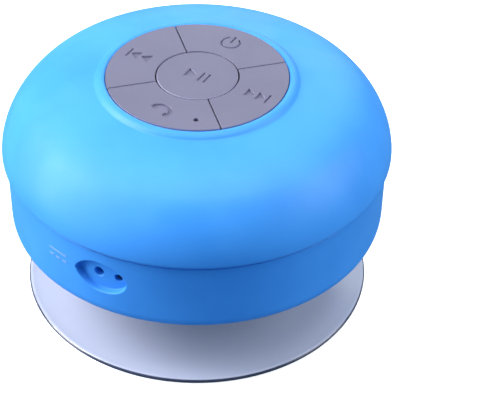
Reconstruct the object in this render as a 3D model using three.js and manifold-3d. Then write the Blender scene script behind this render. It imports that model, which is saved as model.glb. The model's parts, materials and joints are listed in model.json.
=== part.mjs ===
// Round waterproof shower speaker on a suction cup: a silicone keypad in a domed upper shell, a
// lower shell with a charging port, and a base plate that swivels on the cup's stud.
// Millimetres, +Z up. The origin is on the centre line, in the plane of the suction cup's rim;
// the charging port faces -Y and the power key lies towards +Y.

import * as THREE from 'three';
import { mergeVertices } from 'three/addons/utils/BufferGeometryUtils.js';
import Module from 'manifold-3d';

const wasm = await Module();
wasm.setup();

// ---------------------------------------------------------------------------------------------
// Driving dimensions
// ---------------------------------------------------------------------------------------------

// Whole object
const bodyRadius = 43.0;
const standHeight = 19.1;
const bandHeight = 16.6;
const domeHeight = 18.8;

// Clearances shared by many pieces
const seatGap = 0.1;
const runningGap = 0.2;
const stopGap = 0.3;

// Facets round the large, middle, thin-walled, small and tiny round pieces
const largeSides = 40;
const middleSides = 28;
const thinSides = 20;
const smallSides = 12;
const tinySides = 8;

// Shells
const shellWall = 2.0;
const seamGap = 0.5;
const seamInset = 0.65;
const beltRise = 1.0;
const shoulderInset = 7.0;
const shoulderDrop = 5.0;
const shoulderSlope = 34;
const shoulderPull = 0.57;
const beltPull = 0.39;
const crownSlope = 8;
const lipWidth = 2.3;
const lipDrop = 1.05;
const lipProfile = [[0, 0.38], [0.15, 0.08], [0.35, 0], [0.62, 0.15], [0.84, 0.48]];
const bandInset = 1.0;
const bandTaper = 0.2;
const footInset = 1.3;
const footHeight = 2.6;
const footPull = 0.4;
const tongueThickness = 1.2;
const tongueHeight = 2.0;
const tongueRoot = 1.9;
const ledgeWidth = 1.8;
const ledgeThickness = 1.8;

// Posts and screws that close the case
const casePostRadius = 2.6;
const casePostInset = 4.4;
const casePostCount = 3;
const casePostTurn = 90;
const caseScrewLength = 22.0;
const caseScrewRadius = 1.2;
const caseScrewHeadRadius = 2.2;
const caseScrewHeadHeight = 1.1;
const ribThickness = 1.6;
const ribDrop = 3.0;

// Keypad
const keypadRadius = 19.66;
const keypadGap = 0.24;
const playKeyRadius = 8.8;
const keyGroove = 0.35;
const keyThickness = 2.6;
const keyTravel = 0.6;
const keyNubRadius = 1.9;
const micHoleRadius = 0.55;
const micInset = 3.46;
const micTurn = 299.5;
const membraneThickness = 1.0;
const membraneFlange = 2.2;
const skirtThickness = 1.2;

// Main board and what it carries
const boardRadius = 30.0;
const boardThickness = 1.2;
const boardPostRadius = 2.0;
const boardPostCount = 3;
const boardPostTurn = 50;
const boardScrewLength = 4.0;
const boardScrewRadius = 0.8;
const boardScrewHeadHeight = 0.95;
const switchWidth = 4.6;
const switchHeight = 1.6;
const plungerRadius = 1.1;
const plungerRise = 0.7;
const plungerDepth = 0.9;
const plungerTravel = 0.36;
const batteryLength = 26.0;
const batteryWidth = 18.0;
const batteryThickness = 5.4;
const padThickness = 0.4;
const padMargin = 2.0;
const moduleLength = 13.0;
const moduleWidth = 11.0;
const moduleThickness = 0.8;
const shieldHeight = 2.0;
const shieldWall = 0.3;
const shieldEndMargin = 1.0;
const shieldSideMargin = 0.5;
const chipSize = 5.0;
const chipHeight = 1.2;
const plugLength = 5.0;
const plugWidth = 4.0;
const plugHeight = 3.0;
const micRadius = 2.0;
const micHeight = 1.5;
const bootWall = 0.6;
const leadRadius = 0.7;
const leadRise = 1.5;

// Charging port
const portHoleRadius = 1.1;
const ledHoleRadius = 0.95;
const portRise = 9.7;
const portSpacing = 4.6;
const recessWidth = 12.3;
const recessHeight = 7.8;
const recessDepth = 1.5;
const recessOffset = 1.0;
const recessTip = 0.34;
const recessWaist = 0.6;
const portPadThickness = 2.5;
const portPadMargin = 1.6;
const jackWidth = 5.0;
const jackHeight = 4.6;
const jackDepth = 8.6;
const jackPinRadius = 0.35;
const jackBoreDepth = 6.0;
const jackPinInset = 1.0;
const jackPinRoot = 0.5;
const ledWidth = 2.4;
const ledDepth = 2.2;
const ledInset = 0.6;
const chargeBoardDepth = 10.8;
const chargeBoardThickness = 1.2;
const shelfWidth = 2.0;
const shelfRoot = 0.5;

// Base plate
const plateInset = 4.0;
const plateThickness = 2.0;
const plateRecess = 0.4;
const plateChamfer = 0.3;
const plateHubRadius = 10.0;
const plateHubRise = 1.6;
const slotCount = 12;
const slotWidth = 2.2;
const slotLength = 6.0;
const slotMargin = 0.8;
const clothThickness = 0.3;

// Suction cup and the stud that the speaker turns on
const cupRadius = 39.0;
const cupRimHeight = 1.1;
const cupRimRound = 0.4;
const cupSeatWidth = 6.0;
const cupHubRadius = 12.5;
const cupHubRound = 1.0;
const cupHollow = 8.0;
const cupFlare = 0.69;
const cupFlareRise = 2.5;
const cupWaist = 4.5;
const cupWaistShare = 0.4;
const hollowCrown = 0.36;
const hollowFlareShare = 0.22;
const studRadius = 6.0;
const studFlangeRadius = 9.5;
const studFlangeHeight = 1.2;
const studRootRadius = 4.2;
const studRootDepth = 5.6;
const studBarb = 0.7;
const studBarbShare = 0.6;
const clipWidth = 3.5;
const clipThickness = 0.7;
const clipGrooveDepth = 0.8;
const clipMouth = 6.0;
const studCap = 0.8;
const washerThickness = 0.8;
const sealRadius = 0.55;

// Loudspeaker driver
const driverRadius = 20.25;
const driverGasketThickness = 1.5;
const driverGasketWidth = 2.8;
const frameThickness = 0.8;
const frameDepth = 7.8;
const frameRearRadius = 15.0;
const frameThroatRadius = 7.0;
const frameLipInset = 0.6;
const frameWallInset = 1.5;
const windowCount = 4;
const windowTurn = 45;
const windowWidth = 9.0;
const windowHeight = 3.0;
const windowFoot = 2.0;
const surroundWidth = 2.4;
const surroundThickness = 0.3;
const surroundInset = 0.8;
const coneThickness = 0.4;
const coneDepth = 4.5;
const dustCapRise = 1.1;
const coilRadius = 6.3;
const coilThickness = 0.6;
const coilLength = 5.4;
const coilGap = 0.3;
const coilRise = 0.6;
const spiderThickness = 0.3;
const spiderWaves = 3;
const spiderWave = 0.35;
const spiderRadius = 13.8;
const spiderGap = 0.6;
const spiderLip = 1.2;
const topPlateThickness = 2.0;
const magnetRadius = 12.5;
const magnetInnerRadius = 7.6;
const poleInset = 0.5;
const batteryGap = 1.0;
const magnetThickness = 3.0;
const yokeThickness = 1.8;
const terminalLength = 6.0;
const terminalWidth = 4.0;
const terminalThickness = 1.0;

// ---------------------------------------------------------------------------------------------
// Heights and radii that follow from them
// ---------------------------------------------------------------------------------------------

const seamZ = standHeight + bandHeight;
const faceZ = seamZ + domeHeight;
const beltZ = seamZ + beltRise;
const shellTopZ = seamZ - seamGap / 2;
const domeFootZ = seamZ + seamGap / 2;
const bandRadius = bodyRadius - bandInset;
const seamRadius = bodyRadius - seamInset;
const bandInnerRadius = bandRadius - bandTaper - shellWall;

const openingRadius = keypadRadius + keypadGap;
const lipRadius = openingRadius + lipWidth;
const membraneRadius = openingRadius + membraneFlange;
const keyRing = (playKeyRadius + keyGroove + keypadRadius) / 2;
const micRing = keypadRadius - micInset;

const plateRadius = bodyRadius - plateInset;
const plateZ = standHeight + plateRecess;
const plateTopZ = plateZ + plateThickness;
const ledgeZ = plateTopZ + seatGap;
const casePostRing = plateRadius - casePostInset;
const boreRadius = studRadius + runningGap;

const keyFootZ = faceZ - keyThickness;
const membraneTopZ = keyFootZ - keyTravel - stopGap;
const membraneZ = membraneTopZ - membraneThickness;
const plungerTopZ = membraneZ - membraneThickness - runningGap;
const nubZ = plungerTopZ + stopGap;
const switchTopZ = plungerTopZ - plungerRise;
const switchZ = switchTopZ - switchHeight;
const boardTopZ = switchZ - seatGap;
const boardZ = boardTopZ - boardThickness;
const underBoardZ = boardZ - seatGap;
const boardPostRing = membraneRadius + stopGap + boardPostRadius;

const portZ = standHeight + portRise;
const recessFloor = bandRadius - bandTaper - recessDepth;
const portPadFace = recessFloor - portPadThickness;

const surroundLipZ = -seatGap - surroundThickness;
const driverStandoff = seatGap + surroundThickness + seatGap + driverGasketThickness + seatGap;
const driverZ = plateTopZ + driverStandoff;
const gasketInnerRadius = driverRadius - driverGasketWidth;
const coneRadius = gasketInnerRadius - surroundWidth;
const topPlateZ = frameDepth + seatGap;
const magnetZ = topPlateZ + topPlateThickness + seatGap;
const yokeZ = magnetZ + magnetThickness + seatGap;
const batteryX = magnetRadius + batteryGap + batteryWidth / 2;
const batteryZ = underBoardZ - padThickness - seatGap - batteryThickness;

const hubTopZ = plateTopZ + plateHubRise;
const washerZ = plateZ - seatGap - washerThickness;
const studFlangeZ = washerZ - seatGap - studFlangeHeight;
const cupHubZ = studFlangeZ - seatGap;
const clipZ = hubTopZ + runningGap;

// ---------------------------------------------------------------------------------------------
// Geometry helpers
// ---------------------------------------------------------------------------------------------

const degrees = THREE.MathUtils.degToRad;

function point(x, y) {
  return new THREE.Vector2(x, y);
}

// The manifold solid of a closed geometry.
function toSolid(geometry) {
  const bare = new THREE.BufferGeometry();
  bare.setAttribute('position', geometry.getAttribute('position').clone());
  if (geometry.index) {
    bare.setIndex(geometry.index.clone());
  }
  const merged = mergeVertices(bare, 1e-4);
  const corners = merged.index.array;
  const triVerts = [];
  for (let i = 0; i < corners.length; i += 3) {
    const [a, b, c] = corners.slice(i, i + 3);
    if (a !== b && b !== c && c !== a) {
      triVerts.push(a, b, c);
    }
  }
  return new wasm.Manifold(new wasm.Mesh({
    numProp: 3,
    vertProperties: new Float32Array(merged.getAttribute('position').array),
    triVerts: new Uint32Array(triVerts),
  }));
}

// A geometry from a manifold solid.
function toGeometry(solid) {
  const { vertProperties, triVerts } = solid.getMesh();
  const geometry = new THREE.BufferGeometry();
  geometry.setAttribute('position', new THREE.BufferAttribute(vertProperties, 3));
  geometry.setIndex(new THREE.BufferAttribute(triVerts, 1));
  geometry.computeVertexNormals();
  return geometry;
}

function join(first, ...others) {
  return toGeometry(others.reduce((solid, next) => solid.add(toSolid(next)), toSolid(first)));
}

function cut(first, ...tools) {
  return toGeometry(tools.reduce((solid, tool) => solid.subtract(toSolid(tool)), toSolid(first)));
}

function common(first, second) {
  return toGeometry(toSolid(first).intersect(toSolid(second)));
}

// Turns a closed outline of (radius, height) points about the Z axis.
function revolve(outline, sides) {
  const points = THREE.ShapeUtils.area(outline) > 0 ? [...outline] : [...outline].reverse();
  points.push(points[0].clone());
  const geometry = new THREE.LatheGeometry(points, sides).rotateX(Math.PI / 2);
  return toGeometry(toSolid(geometry));
}

function ring(inner, outer, bottom, top, sides) {
  const outline = [point(inner, bottom), point(outer, bottom), point(outer, top), point(inner, top)];
  return revolve(outline, sides);
}

function disc(radius, bottom, top, sides) {
  return ring(0, radius, bottom, top, sides);
}

function post(radius, bottom, top, x, y, sides = smallSides) {
  return disc(radius, bottom, top, sides).translate(x, y, 0);
}

// A box from its centre in plan, its bottom height and its sizes.
function block(width, depth, height, x, y, bottom) {
  return new THREE.BoxGeometry(width, depth, height).translate(x, y, bottom + height / 2);
}

// A round bar lying along Y, from the nearer to the farther y.
function barAlongY(radius, fromY, toY, x, z, sides = smallSides) {
  return disc(radius, 0, toY - fromY, sides).rotateX(-Math.PI / 2).translate(x, fromY, z);
}

function polar(radius, turn) {
  return [radius * Math.cos(degrees(turn)), radius * Math.sin(degrees(turn))];
}

function around(count, startTurn, make) {
  return Array.from({ length: count }, (_, i) => make(startTurn + (360 * i) / count, i));
}

// An outline moved sideways by a distance, to the right of its direction of travel.
function offsetOutline(points, distance) {
  return points.map((p, i) => {
    const before = points[Math.max(i - 1, 0)];
    const after = points[Math.min(i + 1, points.length - 1)];
    const along = after.clone().sub(before).normalize();
    return point(p.x + along.y * distance, p.y - along.x * distance);
  });
}

function bezier(start, startHandle, endHandle, end, steps) {
  return new THREE.CubicBezierCurve(start, startHandle, endHandle, end).getPoints(steps);
}

// A flexible lead: a round tube along a smooth curve through the points.
function lead(points, radius, steps) {
  const path = new THREE.CatmullRomCurve3(points.map((p) => new THREE.Vector3(...p)));
  const section = new THREE.Shape();
  section.absarc(0, 0, radius, 0, 2 * Math.PI);
  return new THREE.ExtrudeGeometry(section, { extrudePath: path, steps, curveSegments: 4 });
}

// A flat shape given a height, rising from z = 0.
function extrude(shape, depth, curveSegments) {
  return new THREE.ExtrudeGeometry(shape, { depth, bevelEnabled: false, curveSegments });
}

function screw(headRadius, headHeight, shankRadius, length) {
  const head = disc(headRadius, 0, headHeight, smallSides);
  const shank = disc(shankRadius, headHeight - seatGap, headHeight + length, tinySides);
  return join(head, shank);
}

const finishes = {
  blueShell: [0x3f9bf0, 0.55, 0],
  silicone: [0x9490b2, 0.6, 0],
  clearCup: [0xb9bcd6, 0.25, 0],
  greyPlastic: [0x55585f, 0.6, 0],
  blackPlastic: [0x1b1c1f, 0.5, 0],
  blackRubber: [0x202124, 0.85, 0],
  foam: [0x33353a, 0.95, 0],
  meshCloth: [0x26282c, 0.9, 0],
  steel: [0xa9adb3, 0.35, 1],
  darkSteel: [0x6a6e75, 0.4, 1],
  ferrite: [0x34363a, 0.7, 0.2],
  copper: [0xb8733a, 0.4, 1],
  paper: [0x2a2b2e, 0.9, 0],
  board: [0x1f6b3e, 0.5, 0],
  batteryWrap: [0x9aa3ad, 0.4, 0.3],
  ledResin: [0xdfe8df, 0.2, 0],
  wire: [0xb02a2a, 0.5, 0],
};

function piece(name, geometry, finish) {
  const [color, roughness, metalness] = finishes[finish];
  const material = new THREE.MeshStandardMaterial({ color, roughness, metalness });
  const mesh = new THREE.Mesh(geometry, material);
  mesh.name = name;
  return mesh;
}

// ---------------------------------------------------------------------------------------------
// Suction cup, stud, clip and washer
// ---------------------------------------------------------------------------------------------

function makeCupAssembly() {
  const group = new THREE.Group();
  const rim = [
    point(cupRadius - cupSeatWidth, 0),
    point(cupRadius - cupRimRound, 0),
    point(cupRadius, cupRimRound),
    point(cupRadius, cupRimHeight - cupRimRound),
  ];
  const dish = bezier(
    point(cupRadius - cupRimRound, cupRimHeight),
    point(cupRadius * cupFlare, cupRimHeight + cupFlareRise),
    point(cupHubRadius + cupWaist, cupHubZ * cupWaistShare),
    point(cupHubRadius, cupHubZ - cupHubRound),
    7,
  );
  const hollow = bezier(
    point(0, cupHollow),
    point(cupRadius * hollowCrown, cupHollow),
    point(cupRadius * cupFlare, cupHollow * hollowFlareShare),
    point(cupRadius - cupSeatWidth, 0),
    6,
  );
  const socket = [
    point(cupHubRadius - cupHubRound, cupHubZ),
    ...studRoot(seatGap),
    point(0, cupHubZ - studRootDepth - seatGap),
  ];
  const outline = [...rim, ...dish, ...socket, ...hollow.slice(0, -1)];
  group.add(piece('suction_cup', revolve(outline, largeSides), 'clearCup'));

  const grooveRadius = studRadius - clipGrooveDepth;
  const studTopZ = clipZ + clipThickness + runningGap + studCap;
  const stud = [
    point(0, cupHubZ - studRootDepth),
    ...studRoot(0).reverse(),
    point(studRootRadius, studFlangeZ),
    point(studFlangeRadius, studFlangeZ),
    point(studFlangeRadius, studFlangeZ + studFlangeHeight),
    point(studRadius, studFlangeZ + studFlangeHeight),
    point(studRadius, clipZ - seatGap),
    point(grooveRadius, clipZ - seatGap),
    point(grooveRadius, clipZ + clipThickness + seatGap),
    point(studRadius, clipZ + clipThickness + seatGap),
    point(studRadius, studTopZ - seatGap),
    point(studRadius - stopGap, studTopZ),
    point(0, studTopZ),
  ];
  group.add(piece('cup_stud', revolve(stud, middleSides), 'greyPlastic'));

  const clipInner = grooveRadius + seatGap;
  const clipRing = ring(clipInner, clipInner + clipWidth, clipZ, clipZ + clipThickness, middleSides);
  const mouth = block(2 * (clipInner + clipWidth), clipMouth, 3 * clipThickness,
    clipInner + clipWidth, 0, clipZ - clipThickness);
  group.add(piece('stud_clip', cut(clipRing, mouth), 'steel'));

  const washer = ring(boreRadius, studFlangeRadius, washerZ, washerZ + washerThickness, middleSides);
  group.add(piece('swivel_washer', washer, 'blackPlastic'));
  return group;
}

// The barbed root of the stud, from the cup's hub face down, grown by a clearance.
function studRoot(clearance) {
  const radius = studRootRadius + clearance;
  const foot = cupHubZ - studRootDepth;
  return [
    point(radius, cupHubZ),
    point(radius + studBarb, foot + studRootDepth * studBarbShare),
    point(radius, foot - clearance),
  ];
}

// ---------------------------------------------------------------------------------------------
// Base plate, its seal and the cloth over the sound slots
// ---------------------------------------------------------------------------------------------

function makeBase() {
  const group = new THREE.Group();
  const plateOutline = [
    point(boreRadius, plateZ),
    point(plateRadius - plateChamfer, plateZ),
    point(plateRadius, plateZ + plateChamfer),
    point(plateRadius, plateTopZ),
    point(plateHubRadius, plateTopZ),
    point(plateHubRadius, hubTopZ),
    point(boreRadius, hubTopZ),
    ...sealGroove(),
  ];
  const slotRing = plateHubRadius + slotMargin + slotLength / 2;
  const slots = around(slotCount, 0, (turn) => slotCutter().translate(slotRing, 0, 0)
    .rotateZ(degrees(turn)));
  const screwHoles = around(casePostCount, casePostTurn, (turn) => {
    const [x, y] = polar(casePostRing, turn);
    const headTopZ = plateZ + seatGap + caseScrewHeadHeight;
    const shankHole = post(caseScrewRadius + runningGap, plateZ - 1, plateTopZ + 1, x, y);
    const headHole = post(caseScrewHeadRadius + stopGap, plateZ - 1, headTopZ + seatGap, x, y);
    return join(shankHole, headHole);
  });
  const plate = cut(revolve(plateOutline, largeSides), ...slots, ...screwHoles);
  group.add(piece('base_plate', plate, 'greyPlastic'));

  const sealCircle = around(tinySides, 0, (turn) => {
    const [x, y] = polar(sealRadius, turn);
    return point(studRadius + seatGap + sealRadius + x, sealZ() + y);
  });
  group.add(piece('stud_seal', revolve(sealCircle, thinSides), 'blackRubber'));

  const clothInner = plateHubRadius + stopGap;
  const clothOuter = gasketInnerRadius - stopGap;
  const cloth = ring(clothInner, clothOuter, plateTopZ + seatGap,
    plateTopZ + seatGap + clothThickness, middleSides);
  group.add(piece('acoustic_membrane', cloth, 'meshCloth'));
  return group;
}

function sealZ() {
  return (plateZ + hubTopZ) / 2;
}

// The groove in the base plate's bore that holds the stud's seal, from the top down.
function sealGroove() {
  const depth = boreRadius + 2 * sealRadius;
  const half = sealRadius + seatGap;
  return [
    point(boreRadius, sealZ() + half),
    point(depth, sealZ() + half),
    point(depth, sealZ() - half),
    point(boreRadius, sealZ() - half),
  ];
}

function slotCutter() {
  const half = slotLength / 2 - slotWidth / 2;
  const shape = new THREE.Shape();
  shape.absarc(half, 0, slotWidth / 2, -Math.PI / 2, Math.PI / 2);
  shape.absarc(-half, 0, slotWidth / 2, Math.PI / 2, 1.5 * Math.PI);
  return extrude(shape, plateThickness + 2, 2).translate(0, 0, plateZ - 1);
}

// ---------------------------------------------------------------------------------------------
// Upper shell, lower shell, seam gasket and case screws
// ---------------------------------------------------------------------------------------------

// The dome's outer line, from the foot of the lip round the keypad down to the seam.
function domeOutline() {
  const shoulder = point(bodyRadius - shoulderInset, faceZ - shoulderDrop);
  const lipFoot = point(lipRadius, faceZ - lipDrop);
  const crownReach = (shoulder.x - lipFoot.x) / 3;
  const slope = degrees(shoulderSlope);
  const crown = bezier(
    lipFoot,
    point(lipFoot.x + crownReach, lipFoot.y - crownReach * Math.tan(degrees(crownSlope))),
    point(shoulder.x - crownReach * Math.cos(slope), shoulder.y + crownReach * Math.sin(slope)),
    shoulder,
    3,
  );
  const drop = shoulder.y - beltZ;
  const shoulderReach = shoulderInset * shoulderPull;
  const side = bezier(
    shoulder,
    point(shoulder.x + shoulderReach * Math.cos(slope), shoulder.y - shoulderReach * Math.sin(slope)),
    point(bodyRadius, beltZ + drop * beltPull),
    point(bodyRadius, beltZ),
    5,
  );
  return [...crown, ...side.slice(1), point(seamRadius, domeFootZ)];
}

// The rounded raised lip, from the keypad opening out to its foot.
function lipOutline() {
  return lipProfile.map(([across, down]) => point(openingRadius + across * lipWidth, faceZ - down * lipDrop));
}

function makeUpperShell() {
  const outer = domeOutline();
  const inner = offsetOutline(outer, shellWall).filter((p) => p.x > membraneRadius + stopGap);
  inner[inner.length - 1] = point(seamRadius - shellWall, domeFootZ);
  const roofZ = membraneTopZ + seatGap;
  const outline = [
    ...lipOutline(),
    ...outer,
    ...inner.reverse(),
    point(membraneRadius + stopGap, roofZ),
    point(openingRadius, roofZ),
  ];
  const shell = revolve(outline, largeSides);
  const filled = revolve([
    ...offsetOutline(outer, shellWall / 2),
    point(0, domeFootZ),
    point(0, roofZ),
  ], largeSides);
  const casePosts = around(casePostCount, casePostTurn, (turn) => {
    const [x, y] = polar(casePostRing, turn);
    return common(post(casePostRadius, domeFootZ, faceZ, x, y), filled);
  });
  const pilots = around(casePostCount, casePostTurn, (turn) => {
    const [x, y] = polar(casePostRing, turn);
    return post(caseScrewRadius + seatGap, domeFootZ - 1, caseScrewTopZ() + seatGap, x, y, tinySides);
  });
  const boardPosts = around(boardPostCount, boardPostTurn, (turn) => {
    const [x, y] = polar(boardPostRing, turn);
    return common(post(boardPostRadius, boardTopZ + seatGap, faceZ, x, y), filled);
  });
  const boardPilots = around(boardPostCount, boardPostTurn, (turn) => {
    const [x, y] = polar(boardPostRing, turn);
    return post(boardScrewRadius + seatGap, boardTopZ - 1, boardScrewTopZ() + seatGap, x, y, tinySides);
  });
  const joined = join(shell, ...casePosts, ...boardPosts);
  return piece('upper_shell', cut(joined, ...pilots, ...boardPilots), 'blueShell');
}

function makeLowerShell() {
  const foot = bezier(
    point(bandRadius - bandTaper - footInset, standHeight),
    point(bandRadius - bandTaper - footInset * footPull, standHeight),
    point(bandRadius - bandTaper, standHeight + footHeight * footPull),
    point(bandRadius - bandTaper, standHeight + footHeight),
    4,
  );
  const tongueOuter = seamRadius - shellWall - stopGap;
  const tongueInner = tongueOuter - tongueThickness;
  const outline = [
    point(plateRadius + runningGap, standHeight),
    ...foot,
    point(bandRadius, shellTopZ),
    point(tongueOuter, shellTopZ),
    point(tongueOuter, seamZ + tongueHeight),
    point(tongueInner, seamZ + tongueHeight),
    point(tongueInner, shellTopZ - tongueRoot),
    point(bandInnerRadius, shellTopZ - tongueRoot - tongueThickness),
    point(bandInnerRadius, ledgeZ + ledgeThickness),
    point(plateRadius - ledgeWidth, ledgeZ + ledgeThickness),
    point(plateRadius - ledgeWidth, ledgeZ),
    point(plateRadius + runningGap, ledgeZ),
  ];
  const wall = revolve(outline, largeSides);
  const core = disc(bandInnerRadius + shellWall / 2, ledgeZ, shellTopZ - tongueRoot, largeSides);
  const posts = around(casePostCount, casePostTurn, (turn) => {
    const [x, y] = polar(casePostRing, turn);
    return post(casePostRadius, ledgeZ, shellTopZ, x, y);
  });
  const ribLength = bandInnerRadius - casePostRing + 1;
  const ribs = around(casePostCount, casePostTurn, (turn) => {
    const rib = block(ribLength, ribThickness, shellTopZ - tongueRoot - ledgeZ - ribDrop,
      casePostRing + ribLength / 2, 0, ledgeZ);
    return common(rib.rotateZ(degrees(turn)), core);
  });
  const bores = around(casePostCount, casePostTurn, (turn) => {
    const [x, y] = polar(casePostRing, turn);
    return post(caseScrewRadius + runningGap, ledgeZ - 1, shellTopZ + 1, x, y, tinySides);
  });
  const padWidth = recessWidth + 2 * portPadMargin;
  const padHeight = recessHeight + 2 * portPadMargin;
  const pad = common(
    block(padWidth, bandRadius, padHeight, recessOffset, -portPadFace - bandRadius / 2,
      portZ - padHeight / 2),
    disc(bandInnerRadius + shellWall / 2, ledgeZ, shellTopZ, largeSides),
  );
  const shelves = [-1, 1].map((side) => common(
    block(shelfWidth, chargeBoardDepth, chargeBoardZ() - seatGap - ledgeZ,
      recessOffset + side * (chargeBoardWidth() - shelfWidth) / 2,
      -portPadFace + chargeBoardDepth / 2 - shelfRoot, ledgeZ),
    core,
  ));
  const solid = join(wall, ...posts, ...ribs, pad, ...shelves);
  return piece('lower_shell', cut(solid, ...bores, ...portCutters()), 'blueShell');
}

// The almond recess round the charging port, and the two holes in its floor.
function portCutters() {
  const a = recessWidth / 2;
  const b = recessHeight / 2;
  const shape = new THREE.Shape();
  shape.moveTo(-a, 0);
  shape.bezierCurveTo(-a, -recessTip * b, -recessWaist * a, -b, 0, -b);
  shape.bezierCurveTo(recessWaist * a, -b, a, -recessTip * b, a, 0);
  shape.bezierCurveTo(a, recessTip * b, recessWaist * a, b, 0, b);
  shape.bezierCurveTo(-recessWaist * a, b, -a, recessTip * b, -a, 0);
  const recess = extrude(shape, 2 * recessDepth, 5)
    .rotateX(Math.PI / 2)
    .translate(recessOffset, -recessFloor, portZ);
  const depth = recessFloor + 1;
  return [
    recess,
    barAlongY(portHoleRadius, -depth, -portPadFace + 1, 0, portZ),
    barAlongY(ledHoleRadius, -depth, -portPadFace + 1, portSpacing, portZ),
  ];
}

function caseScrewTopZ() {
  return plateZ + seatGap + caseScrewHeadHeight + caseScrewLength;
}

function makeShells() {
  const group = new THREE.Group();
  group.add(makeUpperShell(), makeLowerShell());
  const gasketOuter = bandRadius - stopGap;
  const gasketInner = seamRadius - shellWall;
  const gasket = ring(gasketInner, gasketOuter, shellTopZ + seatGap, domeFootZ - seatGap, largeSides);
  group.add(piece('seam_gasket', gasket, 'blackRubber'));
  around(casePostCount, casePostTurn, (turn, i) => {
    const body = screw(caseScrewHeadRadius, caseScrewHeadHeight, caseScrewRadius, caseScrewLength);
    const mesh = piece(`case_screw_${i + 1}`, body, 'steel');
    mesh.position.set(...polar(casePostRing, turn), plateZ + seatGap);
    group.add(mesh);
  });
  return group;
}

// ---------------------------------------------------------------------------------------------
// Keypad: five silicone keys over one membrane
// ---------------------------------------------------------------------------------------------

const sectorKeys = [
  { name: 'next', turn: 0 },
  { name: 'power', turn: 90 },
  { name: 'previous', turn: 180 },
  { name: 'phone', turn: 270 },
];
const micPlace = polar(micRing, micTurn);

// A quarter of the ring round the play key, centred on +X.
function sectorKey() {
  const inner = playKeyRadius + keyGroove;
  const innerTurn = Math.PI / 4 - Math.asin(keyGroove / 2 / inner);
  const outerTurn = Math.PI / 4 - Math.asin(keyGroove / 2 / keypadRadius);
  const shape = new THREE.Shape();
  shape.absarc(0, 0, keypadRadius, -outerTurn, outerTurn, false);
  shape.absarc(0, 0, inner, innerTurn, -innerTurn, true);
  const slab = extrude(shape, keyThickness, 5).translate(0, 0, keyFootZ);
  return join(slab, post(keyNubRadius, nubZ, keyFootZ + 1, keyRing, 0));
}

function makeKeypad() {
  const group = new THREE.Group();
  const playKey = join(
    disc(playKeyRadius, keyFootZ, faceZ, middleSides),
    disc(keyNubRadius, nubZ, keyFootZ + 1, smallSides),
  );
  group.add(piece('play_key', playKey, 'silicone'));
  for (const key of sectorKeys) {
    let body = sectorKey().rotateZ(degrees(key.turn));
    if (key.name === 'phone') {
      body = cut(body, post(micHoleRadius, keyFootZ - 1, faceZ + 1, ...micPlace, tinySides));
    }
    group.add(piece(`${key.name}_key`, body, 'silicone'));
  }
  const skirtZ = boardTopZ + seatGap;
  const hollowRadius = membraneRadius - skirtThickness;
  const nubHoles = [[0, 0], ...sectorKeys.map((key) => polar(keyRing, key.turn))].map(
    ([x, y]) => post(keyNubRadius + stopGap, membraneZ - 1, membraneTopZ + 1, x, y));
  const micHole = post(micHoleRadius + runningGap, membraneZ - 1, membraneTopZ + 1, ...micPlace, tinySides);
  const membrane = cut(
    disc(membraneRadius, skirtZ, membraneTopZ, largeSides),
    disc(hollowRadius, skirtZ - 1, membraneZ, largeSides),
    ...nubHoles,
    micHole,
  );
  group.add(piece('keypad_membrane', membrane, 'silicone'));
  return group;
}

// ---------------------------------------------------------------------------------------------
// Main board, switches, radio, amplifier, microphone and battery
// ---------------------------------------------------------------------------------------------

function boardScrewTopZ() {
  return underBoardZ + boardScrewLength;
}

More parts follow.
